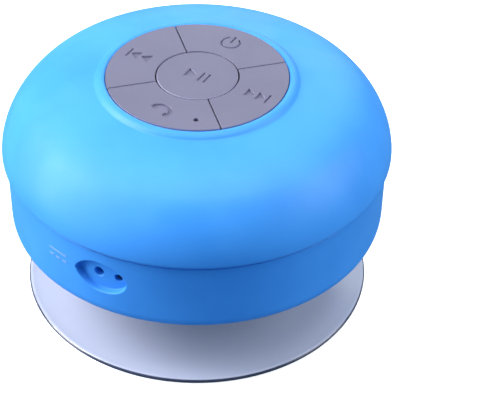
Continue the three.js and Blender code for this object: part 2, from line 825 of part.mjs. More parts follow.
function makeElectronics() {
  const group = new THREE.Group();
  // The case posts pass through the board's edge when the board reaches out to them.
  const notches = around(casePostCount, casePostTurn, (turn) => {
    const [x, y] = polar(casePostRing, turn);
    return post(casePostRadius + stopGap, boardZ - 1, boardTopZ + 1, x, y);
  });
  const holes = around(boardPostCount, boardPostTurn, (turn) => {
    const [x, y] = polar(boardPostRing, turn);
    return post(boardScrewRadius + runningGap, boardZ - 1, boardTopZ + 1, x, y, tinySides);
  });
  const board = cut(disc(boardRadius, boardZ, boardTopZ, largeSides), ...notches, ...holes);
  group.add(piece('main_board', board, 'board'));
  around(boardPostCount, boardPostTurn, (turn, i) => {
    const body = screw(boardPostRadius, boardScrewHeadHeight, boardScrewRadius, boardScrewLength);
    const mesh = piece(`board_screw_${i + 1}`, body, 'steel');
    mesh.position.set(...polar(boardPostRing, turn), underBoardZ - boardScrewHeadHeight);
    group.add(mesh);
  });

  const switchPlaces = [['play', [0, 0]]];
  for (const key of sectorKeys) {
    switchPlaces.push([key.name, polar(keyRing, key.turn)]);
  }
  const bore = disc(plungerRadius + runningGap, -plungerDepth - plungerTravel - seatGap, 1, smallSides)
    .translate(0, 0, switchHeight);
  const switchBody = cut(block(switchWidth, switchWidth, switchHeight, 0, 0, 0), bore);
  const plunger = disc(plungerRadius, switchHeight - plungerDepth, switchHeight + plungerRise, smallSides);
  for (const [name, [x, y]] of switchPlaces) {
    const housing = piece(`${name}_switch`, switchBody, 'darkSteel');
    const button = piece(`${name}_plunger`, plunger, 'blackPlastic');
    housing.position.set(x, y, switchZ);
    button.position.set(x, y, switchZ);
    group.add(housing, button);
  }

  const [screwX] = polar(boardPostRing, boardPostTurn + 360 / boardPostCount);
  const moduleX = screwX + boardPostRadius + stopGap + moduleLength / 2;
  const moduleZ = underBoardZ - moduleThickness;
  const radio = block(moduleLength, moduleWidth, moduleThickness, moduleX, 0, moduleZ);
  group.add(piece('radio_module', radio, 'board'));
  const canLength = moduleLength - 2 * shieldEndMargin;
  const canWidth = moduleWidth - 2 * shieldSideMargin;
  const canZ = moduleZ - seatGap - shieldHeight;
  const can = cut(
    block(canLength, canWidth, shieldHeight, moduleX, 0, canZ),
    block(canLength - 2 * shieldWall, canWidth - 2 * shieldWall, shieldHeight, moduleX, 0, canZ + shieldWall),
  );
  group.add(piece('radio_shield', can, 'steel'));
  const chipY = moduleWidth / 2 + chipSize;
  const chip = block(chipSize, chipSize, chipHeight, moduleX, chipY, underBoardZ - chipHeight);
  group.add(piece('amplifier_chip', chip, 'blackPlastic'));

  const mic = post(micRadius, boardTopZ + seatGap, boardTopZ + seatGap + micHeight, ...micPlace);
  group.add(piece('microphone', mic, 'steel'));
  const bootTopZ = membraneZ - seatGap;
  const boot = cut(
    post(micRadius + seatGap + bootWall, boardTopZ + seatGap, bootTopZ, ...micPlace),
    post(micRadius + seatGap, boardTopZ - 1, boardTopZ + 2 * seatGap + micHeight, ...micPlace),
    post(micHoleRadius, boardTopZ, bootTopZ + 1, ...micPlace, tinySides),
  );
  group.add(piece('microphone_boot', boot, 'blackRubber'));

  const pad = block(batteryWidth - 2 * padMargin, batteryLength - 2 * padMargin, padThickness,
    batteryX, 0, underBoardZ - padThickness);
  const cell = block(batteryWidth, batteryLength, batteryThickness, batteryX, 0, batteryZ);
  group.add(piece('battery_pad', pad, 'foam'), piece('battery', cell, 'batteryWrap'));

  const plugX = boardRadius * 0.1;
  const plugY = boardRadius * 0.55;
  const plugZ = underBoardZ - plugHeight;
  const plug = block(plugLength, plugWidth, plugHeight, plugX, plugY, plugZ);
  group.add(piece('battery_plug', plug, 'ledResin'));
  const cellMiddleZ = batteryZ + batteryThickness / 2;
  const batteryRoute = [
    [batteryX, batteryLength / 2 + seatGap, cellMiddleZ],
    [batteryX, batteryLength / 2 + leadRise + 1, cellMiddleZ],
    [batteryX - 5, plugY + leadRise, cellMiddleZ],
    [plugX + plugLength / 2 + 2 * leadRise, plugY, plugZ + plugHeight / 2],
    [plugX + plugLength / 2 + seatGap, plugY, plugZ + plugHeight / 2],
  ];
  group.add(piece('battery_lead', lead(batteryRoute, leadRadius, 14), 'wire'));
  return group;
}

// ---------------------------------------------------------------------------------------------
// Charging port: jack, indicator and their small board
// ---------------------------------------------------------------------------------------------

function chargeBoardZ() {
  return portZ - jackHeight / 2 - seatGap - chargeBoardThickness;
}

function chargeBoardWidth() {
  return recessWidth + portPadMargin;
}

function makeChargingPort() {
  const group = new THREE.Group();
  const frontY = -portPadFace + seatGap;
  const board = block(chargeBoardWidth(), chargeBoardDepth, chargeBoardThickness, recessOffset,
    frontY + chargeBoardDepth / 2, chargeBoardZ());
  group.add(piece('charge_board', board, 'board'));

  const shell = cut(
    block(jackWidth, jackDepth, jackHeight, 0, frontY + jackDepth / 2, portZ - jackHeight / 2),
    barAlongY(portHoleRadius, frontY - 1, frontY + jackBoreDepth, 0, portZ),
  );
  const pin = barAlongY(jackPinRadius, frontY + jackPinInset, frontY + jackBoreDepth + jackPinRoot,
    0, portZ, tinySides);
  group.add(piece('charge_jack', join(shell, pin), 'blackPlastic'));

  const boardTop = chargeBoardZ() + chargeBoardThickness + seatGap;
  const lampHeight = portZ + ledWidth / 2 - boardTop;
  const lensY = frontY - portPadThickness + ledInset;
  const lamp = join(
    block(ledWidth, ledDepth, lampHeight, portSpacing, frontY + ledDepth / 2, boardTop),
    barAlongY(ledHoleRadius - runningGap, lensY, frontY + ledDepth / 2, portSpacing, portZ),
  );
  group.add(piece('charge_led', lamp, 'ledResin'));

  const leadX = -jackWidth / 2 - leadRadius;
  const rearY = frontY + chargeBoardDepth - leadRadius - seatGap;
  const landingY = -boardRadius * 0.72;
  const route = [
    [leadX, rearY, boardTop],
    [leadX, rearY, boardTop + 2 * leadRise],
    [leadX, (rearY + landingY) / 2, (boardTop + underBoardZ) / 2],
    [leadX, landingY, underBoardZ - 2 * leadRise],
    [leadX, landingY, underBoardZ],
  ];
  group.add(piece('charge_lead', lead(route, leadRadius, 16), 'wire'));
  return group;
}

// ---------------------------------------------------------------------------------------------
// Loudspeaker driver, facing down. Heights are counted from the front of its frame.
// ---------------------------------------------------------------------------------------------

function makeDriver() {
  const group = new THREE.Group();
  group.position.z = driverZ;

  const spiderZ = frameDepth - frameThickness - spiderGap;
  const shelfInner = spiderRadius - spiderLip;
  const frame = [
    point(gasketInnerRadius + frameLipInset, 0),
    point(driverRadius, 0),
    point(driverRadius, frameThickness),
    point(gasketInnerRadius + frameWallInset, frameThickness),
    point(frameRearRadius, frameDepth),
    point(frameThroatRadius, frameDepth),
    point(frameThroatRadius, frameDepth - frameThickness),
    point(shelfInner, frameDepth - frameThickness),
    point(shelfInner, spiderZ + seatGap),
    point(frameRearRadius - frameLipInset, spiderZ + seatGap),
  ];
  const windows = around(windowCount, windowTurn, (turn) => block(
    driverRadius, windowWidth, windowHeight, driverRadius, 0, windowFoot).rotateZ(degrees(turn)));
  const basket = cut(revolve(frame, middleSides), ...windows);
  group.add(piece('driver_frame', basket, 'darkSteel'));

  const gasketZ = surroundLipZ - seatGap - driverGasketThickness;
  const gasketTopZ = gasketZ + driverGasketThickness;
  const gasket = ring(gasketInnerRadius, driverRadius, gasketZ, gasketTopZ, middleSides);
  group.add(piece('driver_gasket', gasket, 'foam'));

  group.add(piece('driver_surround', makeSurround(), 'blackRubber'));
  group.add(piece('driver_cone', makeCone(), 'paper'));
  group.add(piece('driver_dust_cap', makeDustCap(), 'paper'));

  const coilInner = coilRadius - coilThickness;
  const coilZ = coneDepth + coilRise;
  const coil = ring(coilInner, coilRadius, coilZ, coilZ + coilLength, middleSides);
  group.add(piece('voice_coil', coil, 'copper'));
  group.add(piece('driver_spider', makeSpider(spiderZ), 'paper'));

  const topPlate = ring(coilRadius + coilGap, magnetRadius - poleInset, topPlateZ,
    topPlateZ + topPlateThickness, middleSides);
  group.add(piece('driver_top_plate', topPlate, 'steel'));
  const magnet = ring(magnetInnerRadius, magnetRadius, magnetZ, magnetZ + magnetThickness, middleSides);
  group.add(piece('driver_magnet', magnet, 'ferrite'));
  const yoke = join(
    disc(magnetRadius - poleInset, yokeZ, yokeZ + yokeThickness, middleSides),
    disc(coilInner - coilGap, topPlateZ, yokeZ + yokeThickness / 2, middleSides),
  );
  group.add(piece('driver_yoke', yoke, 'steel'));

  const terminalX = -magnetRadius - stopGap - terminalWidth / 2;
  const terminals = block(terminalWidth, terminalLength, terminalThickness, terminalX, 0,
    frameDepth + seatGap);
  group.add(piece('driver_terminals', terminals, 'board'));
  const socketZ = underBoardZ - driverZ;
  const startZ = frameDepth + 2 * seatGap + terminalThickness;
  const landingX = -boardRadius * 0.86;
  const route = [
    [terminalX, 0, startZ],
    [terminalX, 0, startZ + leadRise],
    [(terminalX + landingX) / 2 - 1, -3, (startZ + socketZ) / 2],
    [landingX, -4, socketZ - leadRise],
    [landingX, -4, socketZ],
  ];
  group.add(piece('speaker_lead', lead(route, leadRadius, 14), 'wire'));
  return group;
}

// The half roll between the cone and the frame, with its glued outer lip.
function makeSurround() {
  const middle = coneRadius + surroundWidth / 2;
  const steps = 4;
  const roll = (radius, lift) => Array.from({ length: steps + 1 }, (_, i) => {
    const turn = Math.PI - (Math.PI * i) / steps;
    return point(middle + radius * Math.cos(turn), lift + radius * Math.sin(turn));
  });
  const outer = roll(surroundWidth / 2, surroundLipZ + surroundThickness);
  const inner = roll(surroundWidth / 2 - surroundThickness, surroundLipZ + surroundThickness);
  const lipOuter = driverRadius - surroundInset;
  const outline = [
    ...outer.slice(0, -1),
    point(gasketInnerRadius, surroundLipZ + surroundThickness),
    point(lipOuter, surroundLipZ + surroundThickness),
    point(lipOuter, surroundLipZ),
    point(gasketInnerRadius - surroundThickness, surroundLipZ),
    ...inner.reverse(),
  ];
  return revolve(outline, thinSides);
}

function makeCone() {
  const rim = coneRadius - seatGap;
  const outline = [
    point(coilRadius + seatGap, coneDepth),
    point(rim, surroundLipZ + surroundThickness),
    point(rim, surroundLipZ + surroundThickness + coneThickness),
    point(coilRadius + seatGap, coneDepth + coneThickness),
  ];
  return revolve(outline, thinSides);
}

function makeDustCap() {
  const steps = 3;
  const edge = coilRadius - seatGap;
  const arc = Array.from({ length: steps + 1 }, (_, i) => {
    const share = i / steps;
    return point(edge * share, coneDepth - dustCapRise * (1 - share * share));
  });
  const outline = [...arc, ...arc.map((p) => point(p.x, p.y + coneThickness)).reverse()];
  return revolve(outline, thinSides);
}

function makeSpider(level) {
  const inner = coilRadius + seatGap;
  const steps = spiderWaves * 3;
  const line = Array.from({ length: steps + 1 }, (_, i) => {
    const share = i / steps;
    const radius = inner + (spiderRadius - inner) * share;
    const swell = Math.sin(share * spiderWaves * 2 * Math.PI) * spiderWave * Math.min(1, 3 * (1 - share));
    return point(radius, level - spiderThickness + swell);
  });
  const outline = [...line, ...line.map((p) => point(p.x, p.y + spiderThickness)).reverse()];
  return revolve(outline, thinSides);
}

// ---------------------------------------------------------------------------------------------
// Assembly
// ---------------------------------------------------------------------------------------------

const speaker = new THREE.Group();
speaker.add(makeCupAssembly());
speaker.add(makeBase());
speaker.add(makeShells());
speaker.add(makeKeypad());
speaker.add(makeElectronics());
speaker.add(makeChargingPort());
speaker.add(makeDriver());

export default speaker;
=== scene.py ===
"""Looks of a round shower speaker on a suction cup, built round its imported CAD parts.

Sizes in the classes are millimetres; finished meshes are metres in the frame of the CAD parts:
+Z up, the centre line on the Z axis, the cup's rim on z = 0, the charging port towards -Y.
"""

import json
import logging
import math
from collections.abc import Callable, Sequence
from dataclasses import dataclass, field
from enum import Enum
from typing import Any, NamedTuple

import bmesh
import bpy
from mathutils import Color, Matrix, Vector
from mathutils.geometry import interpolate_bezier


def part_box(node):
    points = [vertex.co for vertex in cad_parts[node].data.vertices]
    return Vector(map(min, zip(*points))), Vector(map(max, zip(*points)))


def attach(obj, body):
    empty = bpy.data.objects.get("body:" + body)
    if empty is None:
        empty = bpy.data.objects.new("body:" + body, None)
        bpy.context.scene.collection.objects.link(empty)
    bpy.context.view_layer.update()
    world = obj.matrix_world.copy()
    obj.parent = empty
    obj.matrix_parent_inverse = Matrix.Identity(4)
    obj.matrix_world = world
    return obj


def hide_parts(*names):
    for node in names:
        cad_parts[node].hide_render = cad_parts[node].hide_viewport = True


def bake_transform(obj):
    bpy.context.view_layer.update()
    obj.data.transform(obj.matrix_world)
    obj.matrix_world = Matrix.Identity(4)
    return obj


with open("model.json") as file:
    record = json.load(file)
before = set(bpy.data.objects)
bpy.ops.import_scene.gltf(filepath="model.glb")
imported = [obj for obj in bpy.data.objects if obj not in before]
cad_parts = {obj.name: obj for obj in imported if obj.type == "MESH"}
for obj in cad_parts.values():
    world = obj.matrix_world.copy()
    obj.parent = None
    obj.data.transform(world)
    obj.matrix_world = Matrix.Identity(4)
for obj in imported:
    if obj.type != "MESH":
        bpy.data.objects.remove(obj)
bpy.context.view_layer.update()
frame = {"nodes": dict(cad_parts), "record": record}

log = logging.getLogger("speaker")

MM = 0.001
ROUND_STEPS = 160
SMALL_STEPS = 48
OFF_CENTRE = 0.01

RUBBED_GAIN, RUBBED_LIFT = 1.25, 12
DUST_COLOUR = (214, 212, 208)
SOFT_DEPTH = 2.0
# Painted shade on the cup: a thin dark line round the outer foot of the rim, between these radii
# and heights in millimetres.
PAINTED_SHADE_REACH = (38.62, 38.76)
PAINTED_SHADE_HEIGHT = (1.15, 0.95)
# Painted highlight on the keys: a lighter band over each key's rounded upper edge, at these depths
# in millimetres below the key tops.
KEY_HIGHLIGHT_START = (0.01, 0.06)
KEY_HIGHLIGHT_END = (0.36, 0.24)


# Shaping


class Corner(NamedTuple):
    """A corner of an outline: two coordinates and the width its edge is rounded over."""

    x: float
    y: float
    rounding: float = 0.0


def sweep(start: Sequence[float], pull: Sequence[float], push: Sequence[float],
          end: Sequence[float], steps: int) -> list[Corner]:
    """Corners along one smooth curve.

    Args:
        start: First point.
        pull: Handle that the curve leaves towards.
        push: Handle that the curve arrives from.
        end: Last point.
        steps: How many straight steps stand for the curve.

    Returns:
        The corners, both ends included.
    """
    knots = [Vector((p[0], p[1], 0.0)) for p in (start, pull, push, end)]
    return [Corner(p.x, p.y) for p in interpolate_bezier(*knots, steps + 1)]


def span(node: str) -> tuple[Vector, Vector]:
    """The lowest and highest corner of a CAD node, in millimetres."""
    low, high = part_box(node)
    return low / MM, high / MM


class Axis(Enum):
    """An axis that a shape is turned about."""

    X = "X"
    Z = "Z"


class Join(Enum):
    """How one shape is combined with another."""

    CUT = "DIFFERENCE"
    UNITE = "UNION"


class Shape:
    """A mesh in the making, in millimetres, shaped by bmesh operators."""

    def __init__(self) -> None:
        """Starts with an empty mesh."""
        self.mesh = bmesh.new()

    @classmethod
    def flat(cls, outline: Sequence[Corner], upright: bool = False) -> "Shape":
        """One flat face with its corners rounded.

        Args:
            outline: Corners in order, of the XY plane or, when upright, of the XZ plane.
            upright: Whether the face stands in the XZ plane.

        Returns:
            The shape, holding that face.
        """
        shape = cls()
        places = [(c.x, 0.0, c.y) if upright else (c.x, c.y, 0.0) for c in outline]
        points = [shape.mesh.verts.new(place) for place in places]
        shape.mesh.faces.new(points)
        widths = sorted({c.rounding for c in outline if c.rounding > 0})
        for width in widths:
            chosen = [p for p, c in zip(points, outline) if c.rounding == width]
            bmesh.ops.bevel(shape.mesh, geom=chosen, offset=width, offset_type="OFFSET",
                            segments=5, profile=0.5, affect="VERTICES", material=-1)
        return shape

    @classmethod
    def turned(cls, outline: Sequence[Corner], steps: int = ROUND_STEPS,
               angle: float = 360.0) -> "Shape":
        """An outline of (radius, height) corners turned about the Z axis.

        Args:
            outline: A closed outline; corners on the axis close the shape there.
            steps: How many steps the turn takes.
            angle: Degrees turned from the +X axis; less than a full turn gets flat ends.

        Returns:
            The turned solid.
        """
        shape = cls.flat(outline, upright=True)
        whole = angle >= 360.0
        section = list(shape.mesh.faces)
        if whole:
            edges = list(shape.mesh.edges)
            bmesh.ops.delete(shape.mesh, geom=section, context="FACES_ONLY")
            on_axis = [e for e in edges if max(abs(v.co.x) for v in e.verts) < 1e-6]
            bmesh.ops.delete(shape.mesh, geom=on_axis, context="EDGES")
            section = list(shape.mesh.edges)
        else:
            section = section + list(shape.mesh.edges)
        bmesh.ops.spin(shape.mesh, geom=section, cent=(0, 0, 0), axis=(0, 0, 1),
                       angle=math.radians(angle), steps=steps, use_merge=whole)
        return shape.tidied()

    @classmethod
    def prism(cls, outline: Sequence[Corner], bottom: float, top: float) -> "Shape":
        """An outline in plan given a height.

        Args:
            outline: Corners in the XY plane.
            bottom: Height of the lower face.
            top: Height of the upper face.

        Returns:
            The closed prism.
        """
        shape = cls.flat(outline)
        raised = bmesh.ops.extrude_face_region(shape.mesh, geom=list(shape.mesh.faces),
                                               use_keep_orig=True)
        lifted = [g for g in raised["geom"] if isinstance(g, bmesh.types.BMVert)]
        bmesh.ops.translate(shape.mesh, verts=lifted, vec=(0, 0, top - bottom))
        return shape.moved((0, 0, bottom)).tidied()

    @classmethod
    def box(cls, low: Sequence[float], high: Sequence[float], rounding: float = 0.0) -> "Shape":
        """A box between two corners, with its edges rounded.

        Args:
            low: Its lowest corner.
            high: Its highest corner.
            rounding: Width of the round on every edge.

        Returns:
            The closed box.
        """
        shape = cls()
        bmesh.ops.create_cube(shape.mesh, size=1.0)
        size = Vector(high) - Vector(low)
        bmesh.ops.scale(shape.mesh, vec=size, verts=shape.mesh.verts)
        shape.moved((Vector(high) + Vector(low)) / 2)
        if rounding > 0:
            shape.rounded(rounding, lambda edge: True)
        return shape

    @classmethod
    def rod(cls, radius: float, bottom: float, top: float, sides: int = SMALL_STEPS) -> "Shape":
        """A round rod along the Z axis.

        Args:
            radius: Its radius.
            bottom: Height of its lower end.
            top: Height of its upper end.
            sides: How many sides stand for the round.

        Returns:
            The closed rod.
        """
        shape = cls()
        bmesh.ops.create_cone(shape.mesh, cap_ends=True, segments=sides, radius1=radius,
                              radius2=radius, depth=top - bottom)
        return shape.moved((0, 0, (top + bottom) / 2))

    @classmethod
    def ring(cls, inner: float, outer: float, bottom: float, top: float, rounding: float,
             steps: int = ROUND_STEPS) -> "Shape":
        """A flat ring about the Z axis, with its edges rounded.

        Args:
            inner: Its inner radius.
            outer: Its outer radius.
            bottom: Height of its lower face.
            top: Height of its upper face.
            rounding: Width of the round on each edge.
            steps: How many steps the turn takes.

        Returns:
            The closed ring.
        """
        return cls.turned([Corner(inner, bottom, rounding), Corner(outer, bottom, rounding),
                           Corner(outer, top, rounding), Corner(inner, top, rounding)], steps)

    def cut_on(self, place: Sequence[float], facing: Sequence[float], clear: bool) -> None:
        """Cuts every face on a plane.

        Args:
            place: A point of the plane.
            facing: The plane's direction.
            clear: Whether what lies that way is removed.
        """
        everything = [*self.mesh.verts, *self.mesh.edges, *self.mesh.faces]
        bmesh.ops.bisect_plane(self.mesh, geom=everything, dist=1e-5, plane_co=Vector(place),
                               plane_no=Vector(facing), clear_outer=clear)

    def tidied(self) -> "Shape":
        """Merges doubled points and turns every face outwards.

        Returns:
            The same shape.
        """
        bmesh.ops.remove_doubles(self.mesh, verts=self.mesh.verts, dist=1e-4)
        bmesh.ops.recalc_face_normals(self.mesh, faces=self.mesh.faces)
        return self

    def moved(self, step: Sequence[float]) -> "Shape":
        """Moves the shape by a step."""
        bmesh.ops.translate(self.mesh, verts=self.mesh.verts, vec=Vector(step))
        return self

    def rotated(self, degrees: float, axis: Axis = Axis.Z) -> "Shape":
        """Turns the shape about an axis through the origin.

        Args:
            degrees: How far it turns.
            axis: The axis, through the origin.

        Returns:
            The same shape.
        """
        turn = Matrix.Rotation(math.radians(degrees), 3, axis.value)
        bmesh.ops.rotate(self.mesh, verts=self.mesh.verts, cent=(0, 0, 0), matrix=turn)
        return self

    def halved(self, place: Sequence[float], outwards: Sequence[float]) -> "Shape":
        """Cuts the shape on a plane and closes the cut.

        Args:
            place: A point of the plane.
            outwards: The plane's direction; what lies that way is removed.

        Returns:
            The shape, closed again.
        """
        self.cut_on(place, outwards, clear=True)
        rim = [e for e in self.mesh.edges if e.is_boundary]
        bmesh.ops.holes_fill(self.mesh, edges=rim, sides=0)
        return self

    def sliced(self, pitch: float) -> "Shape":
        """Cuts the faces into strips across X, so that they can bend.

        Args:
            pitch: Width of a strip.

        Returns:
            The same shape.
        """
        reach = max(abs(vert.co.x) for vert in self.mesh.verts)
        for step in range(-int(reach / pitch), int(reach / pitch) + 1):
            self.cut_on((step * pitch + OFF_CENTRE, 0, 0), (1, 0, 0), clear=False)
        return self

    def flattened(self) -> "Shape":
        """Joins neighbouring faces that lie in one plane.

        Returns:
            The same shape.
        """
        bmesh.ops.dissolve_limit(self.mesh, angle_limit=math.radians(0.4),
                                 verts=self.mesh.verts, edges=self.mesh.edges)
        return self

    def rounded(self, width: float, where: Callable[[bmesh.types.BMEdge], bool],
                segments: int = 4) -> "Shape":
        """Rounds chosen edges.

        Args:
            width: Width of the round.
            where: Tells whether an edge is rounded.
            segments: Steps across the round.

        Returns:
            The shape with those edges rounded.
        """
        chosen = [edge for edge in self.mesh.edges if where(edge)]
        bmesh.ops.bevel(self.mesh, geom=chosen, offset=width, offset_type="OFFSET",
                        segments=segments, profile=0.5, affect="EDGES", material=-1,
                        clamp_overlap=True)
        return self

    def wrapped(self, radius: float, growth: Callable[[float], float]) -> "Shape":
        """Bends a shape that faces -Y round the Z axis.

        Args:
            radius: The radius at which lengths along X are kept.
            growth: How much farther out each height is carried.

        Returns:
            The bent shape.
        """
        for vert in self.mesh.verts:
            turn = vert.co.x / radius
            reach = -vert.co.y + growth(vert.co.z)
            vert.co.x = reach * math.sin(turn)
            vert.co.y = -reach * math.cos(turn)
        return self

    def combined(self, *others: "Shape", join: Join = Join.CUT) -> "Shape":
        """Cuts other shapes out of this one, or joins them on.

        Args:
            others: The shapes, used one after the other.
            join: Whether they are cut out or joined on.

        Returns:
            This shape, holding the result.
        """
        for other in others:
            work = self.placed("work", 1.0)
            tool = other.placed("tool", 1.0)
            step = work.modifiers.new("step", "BOOLEAN")
            step.operation = join.value
            step.solver = "EXACT"
            step.object = tool
            graph = bpy.context.evaluated_depsgraph_get()
            result = bpy.data.meshes.new_from_object(work.evaluated_get(graph))
            self.mesh.clear()
            self.mesh.from_mesh(result)
            bpy.data.meshes.remove(result)
            for used in (work, tool):
                data = used.data
                bpy.data.objects.remove(used)
                bpy.data.meshes.remove(data)
        return self

    def placed(self, name: str, scale: float = MM) -> bpy.types.Object:
        """Makes an object of the shape.

        Args:
            name: The object's name.
            scale: Scene lengths for one length of the shape.

        Returns:
            The object, at the origin.
        """
        data = bpy.data.meshes.new(name)
        self.mesh.to_mesh(data)
        data.transform(Matrix.Scale(scale, 4))
        made = bpy.data.objects.new(name, data)
        bpy.context.scene.collection.objects.link(made)
        return made


def at_height(level: float, reach: float = 1e-3) -> Callable[[bmesh.types.BMEdge], bool]:
    """A test for the edges that lie at one height."""
    return lambda edge: all(abs(v.co.z - level) < reach for v in edge.verts)


# Materials


class Sum(Enum):
    """What is done with two values."""

    ADD = "ADD"
    SUBTRACT = "SUBTRACT"
    MULTIPLY = "MULTIPLY"
    MAXIMUM = "MAXIMUM"


class Graph:
    """A node tree being wired."""

    def __init__(self, tree: bpy.types.NodeTree) -> None:
        """Starts on a tree."""
        self.tree = tree

    def add(self, kind: str, inputs: dict[Any, Any] | None = None,
            **settings: Any) -> bpy.types.Node:
        """Adds a node.

        Args:
            kind: The node's type name.
            inputs: Value or feeding socket for each input, by name or number.
            settings: The node's own settings.

        Returns:
            The node.
        """
        node = self.tree.nodes.new(kind)
        for name, value in settings.items():
            setattr(node, name, value)
        self.fill(node, inputs or {})
        return node

    def fill(self, node: bpy.types.Node, inputs: dict[Any, Any]) -> None:
        """Sets or feeds a node's inputs.

        Args:
            node: The node.
            inputs: Value or feeding socket for each input, by name or number.
        """
        for name, value in inputs.items():
            if isinstance(value, bpy.types.NodeSocket):
                self.tree.links.new(value, node.inputs[name])
            else:
                node.inputs[name].default_value = value

    def maths(self, kind: Sum, first: Any, second: Any = 0.0) -> bpy.types.NodeSocket:
        """The result of a two-value sum."""
        return self.add("ShaderNodeMath", {0: first, 1: second}, operation=kind.value).outputs[0]

    def mixed(self, share: Any, first: Any, second: Any) -> bpy.types.NodeSocket:
        """A colour between two colours, by a share."""
        node = self.add("ShaderNodeMix", {0: share, 6: first, 7: second}, data_type="RGBA")
        return node.outputs[2]

    def noise(self, place: bpy.types.NodeSocket, scale: Any, detail: float = 2.0,
              roughness: float = 0.5, distortion: float = 0.0) -> bpy.types.NodeSocket:
        """A cloudy value from 0 to 1.

        Args:
            place: The coordinates it is laid out on.
            scale: How fine it is.
            detail: How many finer layers it has.
            roughness: How strong those layers are.
            distortion: How much it is stirred.

        Returns:
            The value.
        """
        node = self.add("ShaderNodeTexNoise", {
            "Vector": place, "Scale": scale, "Detail": detail, "Roughness": roughness,
            "Distortion": distortion})
        return node.outputs[0]

    def stepped(self, value: Any, low: float, high: float, start: float = 0.0,
                end: float = 1.0) -> bpy.types.NodeSocket:
        """A value mapped smoothly from one range onto another.

        Args:
            value: The value.
            low: Where its range starts.
            high: Where its range ends.
            start: The result at low.
            end: The result at high.

        Returns:
            The result.
        """
        node = self.add("ShaderNodeMapRange", {0: value, 1: low, 2: high, 3: start, 4: end},
                        interpolation_type="SMOOTHSTEP")
        return node.outputs[0]


def linear(red: int, green: int, blue: int) -> tuple[float, float, float, float]:
    """A colour given as it is seen, from 0 to 255 each, as the shader takes it."""
    seen = Color((red / 255, green / 255, blue / 255)).from_srgb_to_scene_linear()
    return (seen.r, seen.g, seen.b, 1.0)


class Effect(Enum):
    """The surface effects that several finishes share, each one node group."""

    GRAIN = "moulded_grain"
    SMUDGE = "handling_smudges"
    WEAR = "edge_wear"
    DUST = "settled_dust"


